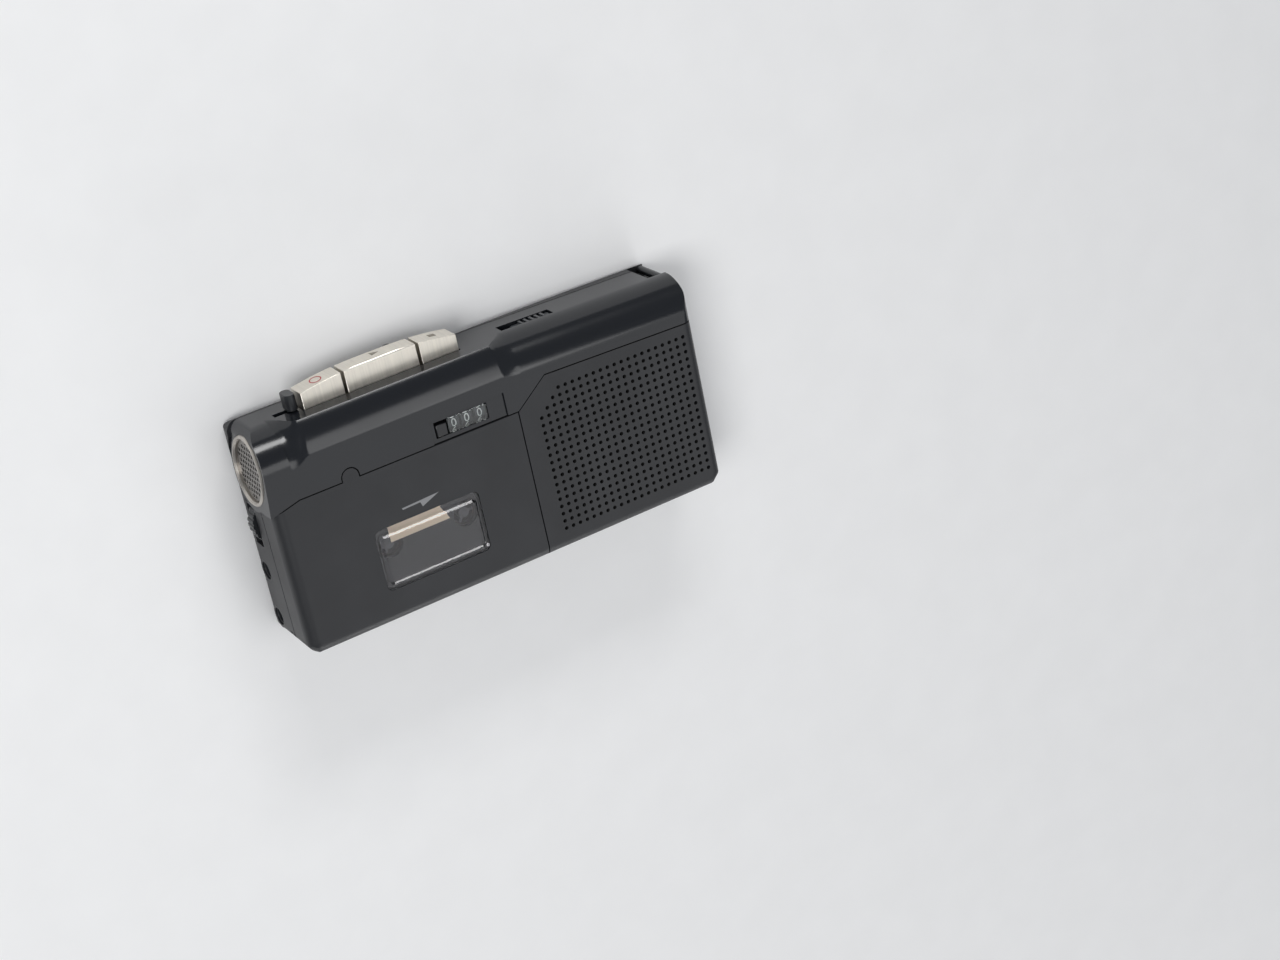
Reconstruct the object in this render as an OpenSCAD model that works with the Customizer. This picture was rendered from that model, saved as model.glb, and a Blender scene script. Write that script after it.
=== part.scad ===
// Pocket dictation machine for microcassettes, lying on its back.
// +X is the speaker end, -X the microphone end, +Y the key side and +Z the front face.

/* [Case] */
// Length of the case without the microphone barrel's overhang
case_l = 117; // [110:0.5:130]
// Width of the case without the keys
case_w = 56.8; // [56:0.2:64]
// Thickness of the case
case_t = 22; // [22:0.5:25]
// Wall thickness of the mouldings
wall = 1.6; // [1.4:0.1:1.9]
// Radius of the front edges
edge_r = 3; // [2.2:0.1:3.8]
// Radius of the two far corners, seen from the front
corner_r = 4; // [3.6:0.1:4.1]
// Radius of those two corners, seen from the side
nose_r = 3.4; // [2.8:0.1:4]
// Radius of the back edges
back_r = 4; // [2.5:0.1:4.5]
// Radius of the back edges at both ends
end_r = 2.4; // [2:0.1:3]
// Visible gap between neighbouring mouldings
seam = 0.3; // [0.2:0.05:0.4]
// How much lower the key side is at the speaker end
taper = 1.4; // [0.5:0.1:2]

/* [Hump and microphone barrel] */
// Radius of the microphone barrel
barrel_r = 10; // [9.5:0.1:10.5]
// Overhang of the barrel beyond the end of the case
barrel_proud = 1.1; // [0.8:0.1:1.5]
// Length of the barrel before the hump begins
barrel_l = 7; // [6:0.5:9]
// How much rounder the neck behind the barrel is than the barrel
neck_extra = 1.2; // [0.8:0.1:1.6]
// Drop of the hump's edge below the front face
hump_drop = 3.4; // [2.5:0.1:4.5]
// Width of the hump's sloping facet
hump_facet = 8.2; // [7:0.1:9]
// Length of each blend at the ends of the hump
blend_l = 5.5; // [4:0.5:7]
// Front corner radius beside the speaker
shoulder_r = 9.6; // [7:0.1:9.8]
// Tilt of the microphone face towards the key side
mic_tilt = 5; // [0:1:6]
// Outer radius of the microphone ring
ring_r = 8.65; // [8:0.05:8.8]
// Radius of the perforated microphone disc
mesh_r = 7.6; // [7:0.1:7.8]
// Spacing of the microphone holes
mesh_pitch = 1.5; // [1.4:0.1:2]

/* [Cassette door] */
// Length of the door along the case
door_l = 65.4; // [62:0.2:72]
// Distance of the door's opening edge from the far side
door_w = 39.6; // [39:0.2:40.4]
// Depth of the door's skirt below the front face
door_d = 9; // [8:0.2:10]
// Radius of the door's hinge knuckle
knuckle_r = 1.6; // [1.5:0.05:1.8]
// Radius of the hinge pin
hinge_pin_r = 0.6; // [0.5:0.05:0.7]
// Radius of the half-round finger tab
tab_r = 2.1; // [1.8:0.1:2.4]
// Length of the window
window_l = 28; // [24:0.5:29]
// Width of the window
window_w = 15.8; // [13:0.2:16.5]
// Height of the window lens above the door
window_proud = 0.35; // [0.2:0.05:0.5]

/* [Speaker panel] */
// Spacing of the speaker holes
hole_pitch = 2; // [1.9:0.05:2.1]
// Radius of a speaker hole
hole_r = 0.5; // [0.4:0.05:0.6]
// Number of hole columns
hole_cols = 22; // [18:1:22]
// Number of hole rows
hole_rows = 19; // [15:1:19]
// Radius of the speaker
speaker_r = 18; // [16:0.5:18]

/* [Keys and knobs] */
// Greatest height of the keys above the key side
key_h = 5.8; // [5:0.1:6.2]
// Depth of the keys
key_d = 6; // [5.5:0.1:6.5]
// Length of the record key
rec_l = 10.8; // [10:0.1:11]
// Length of the play key
play_l = 19; // [18:0.1:19.2]
// Length of the stop key
stop_l = 9.8; // [9:0.1:10]
// Radius of the arch that the three key tops share
key_arch_r = 120; // [90:5:160]
// Travel of the keys
key_travel = 2; // [1.5:0.1:2.2]
// Gap around keys, knobs and buttons
key_gap = 0.35; // [0.3:0.05:0.45]
// Travel of the pause knob
pause_travel = 3; // [2:0.25:3]
// Travel of the cue and review knob to each side
cue_travel = 2; // [1.5:0.25:2.5]
// Length of the slide switch's slot
switch_slot_l = 14.5; // [14:0.1:15.5]
// Length of the slide switch's knob
switch_knob_l = 10.6; // [9:0.1:11]
// Radius of the volume wheel
volume_r = 6.6; // [6:0.1:7]
// Thickness of the volume wheel
volume_t = 3.4; // [3:0.1:3.8]

/* [Counter] */
// Radius of a number wheel
number_r = 3.5; // [3.2:0.1:3.7]
// Width of a number wheel
number_w = 3; // [2.6:0.1:3.2]
// Spacing of the number wheels
number_pitch = 3.5; // [3.4:0.05:3.7]

/* [Cassette and drive] */
// Length of the microcassette
cassette_l = 50; // [49.5:0.1:50.5]
// Width of the microcassette
cassette_w = 33; // [32.5:0.1:33.2]
// Thickness of the microcassette
cassette_t = 8; // [7.8:0.1:8.2]
// Spacing of the two hubs
hub_spacing = 20.4; // [19.5:0.1:21]
// Radius of the capstan
capstan_r = 0.9; // [0.7:0.05:1]
// Radius of the flywheel
flywheel_r = 11; // [10:0.1:11.2]
// Radius of the motor
motor_r = 8.5; // [7.5:0.1:8.7]
// Radius of the motor pulley
pulley_r = 1.9; // [1.6:0.1:2.2]
// Running clearance of a shaft in its bearing
run_fit = 0.05; // [0.03:0.01:0.08]

/* [Sockets and cells] */
// Radius of a jack's bore
jack_r = 1.8; // [1.7:0.05:1.9]
// Radius of a jack's bezel
jack_bezel_r = 3; // [2.6:0.1:3.2]
// Spacing of the two jacks
jack_spacing = 12.5; // [11.5:0.1:13]
// Radius of a cell
cell_r = 7.25; // [7:0.05:7.25]
// Length of a cell
cell_l = 50.5; // [49.5:0.1:50.5]

/* [Hidden] */
$fn = 64;
e = 0.01;
// Reach of a cutter beyond what it cuts
over = 2;

// Places of the cassette and the two cells in the case, and the room beside them
deck_x = 11.5;
cassette_low = 3.8;
cell_gap = 0.35;
bay_gap = 1;
hump_end = 2;
switch_lap = 0.6;
body_gap = 0.4;
plate_room = 1.9;
bay_l = wall + 2 * cell_gap + 4 * cell_r + bay_gap;

// Ends and sides of the case: the origin is under the middle of the whole part
left_x = -(case_l - barrel_proud) / 2;
right_x = left_x + case_l;
bay_x0 = right_x - bay_l;
low_y = -(case_w + key_h) / 2;
top_y = low_y + case_w;
inner_z = case_t - wall;
floor_z = wall;

// Parting lines
door_x1 = left_x + door_l;
door_y1 = low_y + door_w;
skirt_z = case_t - door_d;
upper_z = 4;
panel_y0 = top_y - 10.7;
dip = 2.3;
panel_y1 = panel_y0 - taper;
diagonal_l = 8.6;

// Hump, barrel and shoulder along the length
barrel_y = top_y - barrel_r;
barrel_z = case_t - barrel_r;
barrel_low = min(barrel_y - barrel_r, door_y1 - dip);
hump_x0 = left_x + barrel_l;
neck_x0 = hump_x0 - 1;
hump_x1 = door_x1 - hump_end;

// Microphone ring: depth of its seat and how far it stands proud
ring_d = 1.9;
ring_proud = 0.35;
block_r = 3;
corner_gap = 0.15;
block_x = 0.6;

// Keys stand in one row on the hump's shelf
key_z = case_t - 11;
rec_x0 = hump_x0 + 9.4;
play_x0 = rec_x0 + rec_l + 0.8;
stop_x0 = play_x0 + play_l + 0.8;
keys_x1 = stop_x0 + stop_l;
keys_mid = (rec_x0 + keys_x1) / 2;
flange_t = 1.4;
inner_top_y = top_y - taper - wall;
key_root_y = inner_top_y - key_gap - flange_t;
spring_t = 0.5;
pause_r = 1.3;
pause_x = rec_x0 - 2.2;
cue_x = play_x0 + play_l - 4;
cue_z = key_z - key_d / 2 - 2.2;
switch_x1 = bay_x0 + bay_gap - body_gap - switch_lap;
switch_x0 = switch_x1 - switch_slot_l;
switch_z = case_t - 11.5;
switch_w = 3.4;
switch_body_d = 4;
switch_y0 = inner_top_y - key_gap - flange_t;

// Tape deck levels, from the door inwards
cassette_z1 = inner_z - 0.4;
cassette_z0 = cassette_z1 - cassette_t;
plate_z1 = cassette_z0 - 0.8;
plate_t = 1;
plate_z0 = plate_z1 - plate_t;
cassette_x = left_x + deck_x + cassette_l / 2;
cassette_y0 = low_y + cassette_low;
cassette_y1 = cassette_y0 + cassette_w;
cassette_x0 = cassette_x - cassette_l / 2;
hub_y = cassette_y1 - 17.5;
hub_bore_r = 2.9;
spindle_r = 1.4;
bearing_r = 2;
motor_shaft_r = 0.8;
pinch_pin_r = 0.8;
take_up_x = cassette_x + hub_spacing / 2;
supply_x = cassette_x - hub_spacing / 2;
capstan_x = supply_x - 2.3;
capstan_y = cassette_y1 - 2.1;
drive_z = floor_z + 0.5;
motor_x = take_up_x + 7.3;
motor_y = hub_y + 11;
slide_z = plate_z1 + 0.15;
slide_t = 1;
plate_y1 = key_root_y - key_travel - 0.4 - spring_t - 0.3;
head_x0 = cassette_x - 5;
head_x1 = cassette_x + 4;
erase_l = 3;
pinch_r = 2.8;
pinch_gap = 0.2;
play_travel = key_travel - 0.2;
pinch_y = capstan_y + capstan_r + pinch_r + play_travel + pinch_gap;
tape_z = (cassette_z0 + cassette_z1) / 2;

// Door hinge
hinge_y = low_y + knuckle_r;
hinge_z = skirt_z - knuckle_r;
lug_w = 4;
lug_x = [left_x + 12, door_x1 - 12];
tab_x = left_x + 20.4;
window_x = cassette_x;
window_y = low_y + 16.5;

// Counter
counter_y = top_y - 14;
counter_z = case_t - 1.2 - number_r;
shaft_r = 0.6;
pocket_d = 0.5;
counter_half = 5.4;
counter_low = 2.2;
counter_high = 1.9;
button_x = 8.9;
counter_gap = 0.2;
counter_x = head_x1 + erase_l + counter_gap + button_x;

// Posts that carry the deck, in front of the back screws
post_r = 2.2;
post_x1 = max(door_x1 - 3.5, counter_x + counter_half + post_r + counter_gap);
post_places = [[left_x + 14, plate_y1 - 2.5], [left_x + 14.4, low_y + 10],
    [door_x1 - 3.5, low_y + 7], [post_x1, plate_y1 - 2.5]];

// Sockets, thumbwheel and cells
jack_z = 4.5;
jack_y = [low_y + 5.5, low_y + 5.5 + jack_spacing];
jack_l = 11.5;
jack_half = jack_r + 0.5;
volume_x = left_x + volume_r - barrel_proud;
volume_y = barrel_low - volume_r + 0.6;
volume_z = 5.7;
cell_lift = 0.5;
cell_z = floor_z + cell_lift + cell_r;
cell_y0 = top_y - wall - plate_room - cell_l;
cell_x = [right_x - wall - cell_gap - cell_r, right_x - wall - 2 * cell_gap - 3 * cell_r];
lid_t = 1.2;
lid_lip = upper_z - seam;
lid_gap = 0.2;
lid_x0 = bay_x0 + 1.5;
lid_y0 = low_y + back_r + 1;
lid_y1 = top_y - back_r - 2;
slot_half = 5.4;
speaker_x = right_x - 24.8;
speaker_y = low_y + 23.6;
speaker_z0 = cell_z + cell_r + 0.2;
board_x0 = max(door_x1 + 2, motor_x + motor_r + body_gap);
board_x1 = bay_x0 - 2.4;
board_w = board_x1 - board_x0;
chips = [[0.13, 11, 0.47], [0.2, 25, 0.74], [0.13, 39, 0.53]];
board_z = 6;
board_posts = [low_y + 8, top_y - 13];
strap_r = 1;
strap_l = 5;
strap_x = right_x - strap_r - 0.2;
strap_y = top_y - taper - strap_r - 0.1;
strap_z0 = 1.2;

// A box between two corners
module box(a, b) translate(a) cube(b - a);

// A rod along X, Y or Z that starts at p
module rod_x(p, r, l) translate(p) rotate([0, 90, 0]) cylinder(r = r, h = l);
module rod_y(p, r, l) translate(p) rotate([-90, 0, 0]) cylinder(r = r, h = l);
module rod_z(p, r, l) translate(p) cylinder(r = r, h = l);

// A rectangle from a to b with its own radius at each corner, from the lower left round to the upper left
module round_rect(a, b, radii) {
    corners = [[a.x, a.y], [b.x, a.y], [b.x, b.y], [a.x, b.y]];
    into = [[1, 1], [-1, 1], [-1, -1], [1, -1]];
    difference() {
        translate(a) square(b - a);
        for (i = [0:3])
            if (radii[i] > 0)
                translate(corners[i] + into[i] * radii[i] / 2)
                    square(radii[i], center = true);
    }
    for (i = [0:3])
        if (radii[i] > 0)
            translate(corners[i] + into[i] * radii[i])
                circle(radii[i]);
}

// Extrusions along X and Y of outlines drawn in YZ and XZ
module along_x(x0, x1) translate([x0, 0, 0]) rotate([90, 0, 90]) linear_extrude(x1 - x0) children();
module along_y(y0, y1) translate([0, y1, 0]) rotate([90, 0, 0]) linear_extrude(y1 - y0) children();

// Rounds a far front corner in the plane of its diagonal; s is -1 at the microphone end and 1 at the other
module corner_form(s, d)
    translate([s < 0 ? left_x + corner_r : right_x - corner_r, low_y + corner_r, 0])
        rotate([0, 0, s < 0 ? -135 : -45])
            along_y(-case_l, case_l)
                round_rect([-case_l * 2, -over], [corner_r + corner_gap - d, case_t - d], [0, 0, nose_r - d, 0]);

// The case's outer form, or the same form set in by d
module case_form(d = 0) {
    front_r = edge_r - d;
    rear_r = back_r - d;
    plan_r = corner_r - d;
    tip_r = end_r - min(d, end_r - 0.5);
    intersection() {
        corner_form(-1, d);
        corner_form(1, d);
        linear_extrude(case_t)
            polygon([[left_x - over, low_y - over], [right_x + over, low_y - over],
                [right_x + over, side_y(right_x + over) - d], [hump_x1, top_y - d],
                [left_x - over, top_y - d]]);
        along_x(left_x + d, right_x - d)
            round_rect([low_y + d, d], [top_y - d, case_t - d], [rear_r, rear_r, 0, front_r]);
        along_y(low_y, top_y)
            round_rect([left_x + d, d], [right_x - d, case_t - d], [tip_r, tip_r, front_r, front_r]);
        linear_extrude(case_t)
            round_rect([left_x + d, low_y + d], [right_x - d, top_y - d],
                [plan_r, plan_r, tip_r, block_r - d]);
    }
}

// Case wall as one closed shell
module case_shell() {
    difference() {
        case_form();
        case_form(wall);
    }
}

// Share of the hump, 0 on the barrel and the shoulder and 1 between its blends
function ease(t) = t <= 0 ? 0 : t >= 1 ? 1 : t * t * (3 - 2 * t);
function ramp(t) = max(0, min(1, t));
function hump_at(x) = min(ease((x - hump_x0) / blend_l), 1 - ramp((x - hump_x1) / blend_l));
function mix(a, b, s) = a + (b - a) * s;
// Height of the key side along the length: it falls towards the speaker end
function side_y(x) = top_y - taper * max(0, (x - hump_x1) / (right_x - hump_x1));
function base_r(x) = x < (hump_x0 + hump_x1) / 2 ? barrel_r + neck_extra : shoulder_r;
corner_steps = 12;
// One section of the front corner: an arc on neck and shoulder, a fuller sloping facet on the hump
function corner(x, i) =
    let (s = hump_at(x), a = 90 * i / corner_steps, t = i / corner_steps)
    let (w = mix(base_r(x), hump_facet, s), d = mix(base_r(x), hump_drop, s), full = mix(1, 0.45, s))
    let (u = mix(t, sin(a), full), v = mix(t, 1 - cos(a), full))
    [side_y(x) - w + w * u, case_t - d * v];
function section(x, deep_y, deep_z) = concat(
    [[deep_y, deep_z], [deep_y, case_t]],
    [for (i = [0:corner_steps]) corner(x, i)],
    [[side_y(x), deep_z]]);
blend_steps = 7;
stations = concat(
    [neck_x0 - over],
    [for (i = [0:blend_steps]) hump_x0 + blend_l * i / blend_steps],
    [for (i = [0:blend_steps]) hump_x1 + blend_l * i / blend_steps],
    [right_x + over]);

// The key side of the case, lofted through its sections
module hump_loft(deep_y, deep_z) {
    rows = [for (x = stations) [for (p = section(x, deep_y, deep_z)) [x, p.x, p.y]]];
    n = len(rows[0]);
    m = len(rows);
    sides = [for (i = [0:m - 2], j = [0:n - 1], k = [0, 1])
        let (a = i * n + j, b = i * n + (j + 1) % n)
        k == 0 ? [a, b, a + n] : [b, b + n, a + n]];
    first = [for (j = [n - 1:-1:0]) j];
    last = [for (j = [0:n - 1]) (m - 1) * n + j];
    polyhedron([for (r = rows) each r], concat(sides, [first, last]));
}

// Outline of the upper cabinet on the front face
upper_outline = [
    [left_x - over, door_y1 - dip], [left_x + barrel_l, door_y1], [door_x1 + seam, door_y1],
    [door_x1 + seam + diagonal_l, panel_y0], [right_x + over, panel_y1],
    [right_x + over, top_y + over], [left_x - over, top_y + over]];

// Keys, knobs and switches pass through these openings in the key side
module key_side_openings() {
    box([rec_x0 - key_gap, top_y - 8, key_z - key_d / 2 - key_gap],
        [keys_x1 + key_gap, top_y + over, key_z + key_d / 2 + key_gap]);
    box([pause_x - 1.2 - pause_travel - key_gap, top_y - 8, key_z - 1],
        [pause_x + 1.2, top_y + over, key_z + 1]);
    box([cue_x - cue_travel - 1.3, top_y - 8, cue_z - 0.8],
        [cue_x + cue_travel + 1.3, top_y + over, cue_z + 0.8]);
    box([switch_x0, top_y - 8, switch_z - switch_w / 2],
        [switch_x1, top_y + over, switch_z + switch_w / 2]);
}

// Everything about the microphone lies on one axis, tilted towards the key side
module on_mic_axis()
    translate([left_x - barrel_proud + ring_r * sin(mic_tilt), barrel_y, barrel_z])
        rotate([0, 0, -mic_tilt])
            children();

module upper_cabinet() color("#34363a") difference() {
    union() {
        intersection() {
            hump_loft(low_y + 20, upper_z - over);
            linear_extrude(case_t + over) polygon(upper_outline);
            along_y(door_y1 - over, top_y + over)
                round_rect([neck_x0, upper_z], [right_x, case_t], [0, 0, edge_r, 0]);
        }
        // Barrel, with the flat of the front face beside it
        intersection() {
            box([left_x - over, door_y1 - over * 2, barrel_z], [hump_x0, barrel_y, case_t]);
            linear_extrude(case_t + over) polygon(upper_outline);
        }
        rod_x([left_x - over, barrel_y, barrel_z], barrel_r, barrel_l + over);
        box([left_x - over, barrel_y, upper_z], [hump_x0, top_y, barrel_z]);
    }
    // The block beside the barrel turns a round corner to the end
    difference() {
        box([left_x - over * 2, top_y - block_r, 0],
            [left_x + block_x + block_r, top_y + over, case_t + over]);
        rod_z([left_x + block_x + block_r, top_y - block_r, 0], block_r, case_t + over);
    }
    // Inside, left open towards the deck
    along_x(left_x + barrel_l + 2, hump_x1)
        polygon([[low_y, 0], [low_y, inner_z], [top_y - hump_facet - 0.6, inner_z],
            [inner_top_y, inner_z - 2.5], [inner_top_y, 0]]);
    along_x(hump_x1 - e, right_x - wall)
        round_rect([low_y, 0], [inner_top_y, inner_z], [0, 0, shoulder_r - wall, 0]);
    // The barrel's end is cut square to the tilted microphone axis, and bored for the ring and the capsule
    on_mic_axis() {
        rod_x([-over * 3, 0, 0], barrel_r * 2, over * 3 + ring_proud);
        rod_x([-e, 0, 0], ring_r + run_fit, ring_d + e);
        rod_x([0, 0, 0], mesh_r - 1, barrel_l + over * 3);
    }
    key_side_openings();
    // Round notch for the door's finger tab
    rod_z([tab_x, door_y1 + 0.5, skirt_z], tab_r + seam, door_d + over);
    // The counter sits in a shallow pocket
    box([counter_x - 10, door_y1 - over, case_t - pocket_d],
        [counter_x + 10.2, counter_y + 2.8, case_t + over]);
    box([counter_x - button_x, counter_y - counter_low, skirt_z],
        [counter_x + counter_half + 0.1, counter_y + counter_high, case_t + over]);
    // Notch for the wrist strap
    box([right_x - strap_l, top_y - taper - 3, upper_z - over], [right_x + over, top_y + over, case_t - 10]);
}

// Grid of speaker holes, with the corner beside the counter left plain
module speaker_holes() {
    for (i = [0:hole_cols - 1], j = [0:hole_rows - 1])
        if (i + (hole_rows - 1 - j) >= 3)
            rod_z([speaker_x + (i - (hole_cols - 1) / 2) * hole_pitch,
                speaker_y + (j - (hole_rows - 1) / 2) * hole_pitch, inner_z - over], hole_r, wall + over * 2);
}

module speaker_panel() color("#3d3e40") difference() {
    intersection() {
        case_shell();
        box([door_x1 + seam, low_y - over, skirt_z], [right_x + over, top_y + over, case_t + over]);
        linear_extrude(case_t + over)
            polygon([[door_x1, low_y - over], [door_x1, door_y1 - seam], [door_x1 + seam, door_y1 - seam],
                [door_x1 + seam + diagonal_l, panel_y0 - seam], [right_x + over, panel_y1 - seam],
                [right_x + over, low_y - over]]);
    }
    speaker_holes();
}

module rear_cabinet() color("#333537") difference() {
    union() {
        intersection() {
            case_shell();
            union() {
                box([left_x - over, low_y - over, -over], [right_x + over, top_y + over, upper_z - seam]);
                box([left_x - over, low_y - over, -over],
                    [right_x - wall - over, barrel_low - seam, skirt_z - seam]);
                box([right_x - wall - over, low_y - over, -over],
                    [right_x + over, panel_y1 - seam, skirt_z - seam]);
            }
        }
        // Lugs that carry the door's hinge pin
        for (x = lug_x)
            box([x - lug_w / 2, low_y + wall - 0.1, floor_z - 0.1],
                [x + lug_w / 2, hinge_y + knuckle_r, hinge_z + knuckle_r - 0.2]);
        // Posts under the deck and the circuit board
        for (p = post_places)
            rod_z([p.x, p.y, floor_z - 0.1], post_r, plate_z0 - floor_z + 0.1);
        for (y = board_posts)
            rod_z([(board_x0 + board_x1) / 2, y, floor_z - 0.1], post_r, board_z - floor_z + 0.1);
        // Wall between the cells and the deck
        box([bay_x0 - 1.2, low_y + wall - 0.1, floor_z - 0.1],
            [bay_x0, switch_y0 - switch_body_d - 1, skirt_z - 1]);
        // Bulkhead that closes the case behind the barrel
        intersection() {
            case_form();
            box([left_x + barrel_l + seam, barrel_low - 1, 0.5],
                [left_x + barrel_l + seam + 1.2, top_y, upper_z - seam]);
        }
    }
    // Room for the barrel
    rod_x([left_x - over, barrel_y, barrel_z], barrel_r + seam, barrel_l + over + seam);
    // Bores in the lugs, and room for the door's knuckle beside and between them
    rod_x([left_x - over, hinge_y, hinge_z], hinge_pin_r + run_fit, door_l + over);
    for (x = [[left_x - over, lug_x[0] - lug_w / 2], [lug_x[0] + lug_w / 2, lug_x[1] - lug_w / 2],
        [lug_x[1] + lug_w / 2, door_x1 + seam]])
        box([x[0], low_y - over, hinge_z - knuckle_r - seam], [x[1], hinge_y + knuckle_r + seam, case_t]);
    // Jack holes and the thumbwheel's slot
    for (y = jack_y)
        rod_x([left_x - over, y, jack_z], jack_bezel_r, over + wall + 1);
    box([left_x - over, volume_y - slot_half, volume_z - volume_t / 2 - 0.5],
        [left_x + over, volume_y + slot_half, volume_z + volume_t / 2 + 0.5]);
    // Opening for the battery lid, with its lip at the end wall
    box([lid_x0, lid_y0, -over], [right_x + over, lid_y1, floor_z + e]);
    box([right_x - wall - over, lid_y0, -over], [right_x + over, lid_y1, lid_lip]);
    // Notch for the wrist strap
    box([right_x - strap_l, top_y - taper - 3, strap_z0], [right_x + over, top_y + over, case_t]);
    for (p = post_places) {
        rod_z([p.x, p.y, -over], 1.5, over + 0.7);
        rod_z([p.x, p.y, 0], 0.85, 4);
        rod_z([p.x, p.y, plate_z0 - 4], 0.95, 5);
    }
}

// Sliding lid with an upturned lip and thumb grooves
module battery_lid() color("#303234") difference() {
    intersection() {
        case_form();
        union() {
            box([lid_x0 + lid_gap, lid_y0 + lid_gap, 0], [right_x, lid_y1 - lid_gap, lid_t]);
            box([right_x - lid_t, lid_y0 + lid_gap, 0], [right_x, lid_y1 - lid_gap, lid_lip - lid_gap]);
        }
    }
    for (i = [0:4])
        box([right_x - 14 + i * 1.6, speaker_y - 8, -over], [right_x - 13.2 + i * 1.6, speaker_y + 8, 0.4]);
}

// Door with a skirt round the microphone end: its corner dips under the microphone barrel
module cassette_door() color("#3a3b3d") difference() {
    union() {
        intersection() {
            case_shell();
            translate([0, 0, skirt_z])
                linear_extrude(door_d + over)
                    polygon([[left_x - over, low_y - over], [door_x1, low_y - over],
                        [door_x1, door_y1 - seam], [left_x + barrel_l, door_y1 - seam],
                        [left_x - over, door_y1 - dip - seam]]);
        }
        // Half-round finger tab
        intersection() {
            union() {
                rod_z([tab_x, door_y1 + 0.5, inner_z], tab_r, wall);
                box([tab_x - tab_r, door_y1 - 1, inner_z], [tab_x + tab_r, door_y1 + 0.5, case_t]);
            }
            box([tab_x - tab_r, door_y1 - 1, 0], [tab_x + tab_r, door_y1 + 0.5 + tab_r, case_t]);
        }
        // Hinge knuckle along the far side, hung from the skirt
        intersection() {
            case_form();
            union() {
                rod_x([left_x, hinge_y, hinge_z], knuckle_r, door_l);
                box([left_x, low_y, hinge_z], [door_x1, hinge_y, skirt_z + 0.1]);
            }
        }
    }
    // Gaps for the lugs, bore for the pin
    for (x = lug_x)
        box([x - lug_w / 2 - seam, low_y - over, 0],
            [x + lug_w / 2 + seam, hinge_y + knuckle_r + over, skirt_z + 0.7]);
    rod_x([left_x + 3, hinge_y, hinge_z], hinge_pin_r + run_fit, door_l);
    // Room for the barrel
    rod_x([left_x - over, barrel_y, barrel_z], barrel_r + seam, barrel_l + over);
    window_block(0.08, case_t - wall - over, case_t + over);
}

// Rounded block on the window's outline, grown by g
module window_block(g, z0, z1)
    translate([0, 0, z0])
        linear_extrude(z1 - z0)
            round_rect([window_x - window_l / 2 - g, window_y - window_w / 2 - g],
                [window_x + window_l / 2 + g, window_y + window_w / 2 + g], [1.5, 1.5, 1.5, 1.5]);

// Clear lens with a bevel on all four sides
module door_window() color("#9fb0b8") intersection() {
    window_block(0, inner_z + 0.1, case_t + window_proud);
    along_x(window_x - window_l, window_x + window_l)
        bevelled(window_y, window_w);
    along_y(window_y - window_w, window_y + window_w)
        bevelled(window_x, window_l);
}
module bevelled(mid, w) {
    bevel = 1.2;
    top_z = case_t + window_proud;
    polygon([[mid - w / 2, 0], [mid + w / 2, 0], [mid + w / 2, case_t - 0.1], [mid + w / 2 - bevel, top_z],
        [mid - w / 2 + bevel, top_z], [mid - w / 2, case_t - 0.1]]);
}

module door_hinge_pin() color("silver")
    rod_x([left_x + 4.5, hinge_y, hinge_z], hinge_pin_r, door_l - 6);

module mic_ring() color("#b9b4aa") on_mic_axis() rotate([0, 90, 0]) rotate_extrude()
    polygon([[mesh_r - 0.6, ring_d], [mesh_r - 0.6, ring_d - 0.35], [mesh_r, ring_d - 0.35], [mesh_r, 0.45],
        [mesh_r + 0.35, 0], [ring_r - 0.3, 0], [ring_r, 0.3], [ring_r, ring_d]]);

// Perforated disc, with its holes on a triangular grid
module mic_grille() color("#8f8d88") on_mic_axis() rotate([0, 90, 0]) difference() {
    rod_z([0, 0, ring_d - 0.9], mesh_r - run_fit, 0.5);
    rows = floor(mesh_r / mesh_pitch / sin(60));
    for (j = [-rows:rows], i = [-rows - 1:rows + 1]) {
        p = [(i + (j % 2 == 0 ? 0 : 0.5)) * mesh_pitch, j * mesh_pitch * sin(60)];
        if (norm(p) < mesh_r - 0.9)
            rod_z([p.x, p.y, 0], mesh_pitch * 0.31, 3, $fn = 16);
    }
}
module mic_capsule() color("#77787a") on_mic_axis() rod_x([ring_d + 0.3, 0, 0], mesh_r - 1.25, 5);

// A key with its share of the common arch, and the flange that keeps it in
module key(x0, l) {
    intersection() {
        translate([0, 0, key_z - key_d / 2])
            linear_extrude(key_d)
                intersection() {
                    translate([x0, key_root_y]) square([l, top_y + key_h - key_root_y]);
                    translate([keys_mid, top_y + key_h - key_arch_r]) circle(key_arch_r, $fn = 360);
                }
        along_x(x0, x0 + l)
            round_rect([key_root_y, key_z - key_d / 2], [top_y + key_h, key_z + key_d / 2], [0, 1.2, 0.8, 0]);
    }
    box([x0, key_root_y, key_z - key_d / 2 - 1], [x0 + l, key_root_y + flange_t, key_z + key_d / 2 + 1]);
}
module rec_key() color("#c9c3b4") key(rec_x0, rec_l);
module play_key() color("#c9c3b4") key(play_x0, play_l);
module stop_key() color("#c9c3b4") key(stop_x0, stop_l);

// Stamped plate with one spring finger under each key
module key_spring_plate() color("#a8a9a6") {
    y0 = key_root_y - key_travel - 0.4 - spring_t;
    difference() {
        box([rec_x0, y0, key_z - key_d / 2], [keys_x1, y0 + spring_t, key_z + key_d / 2]);
        for (x = [play_x0 - 0.4, stop_x0 - 0.4])
            box([x - 0.4, y0 - over, key_z - key_d / 2 + 1.5], [x + 0.4, y0 + over, key_z + key_d]);
    }
}

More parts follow.
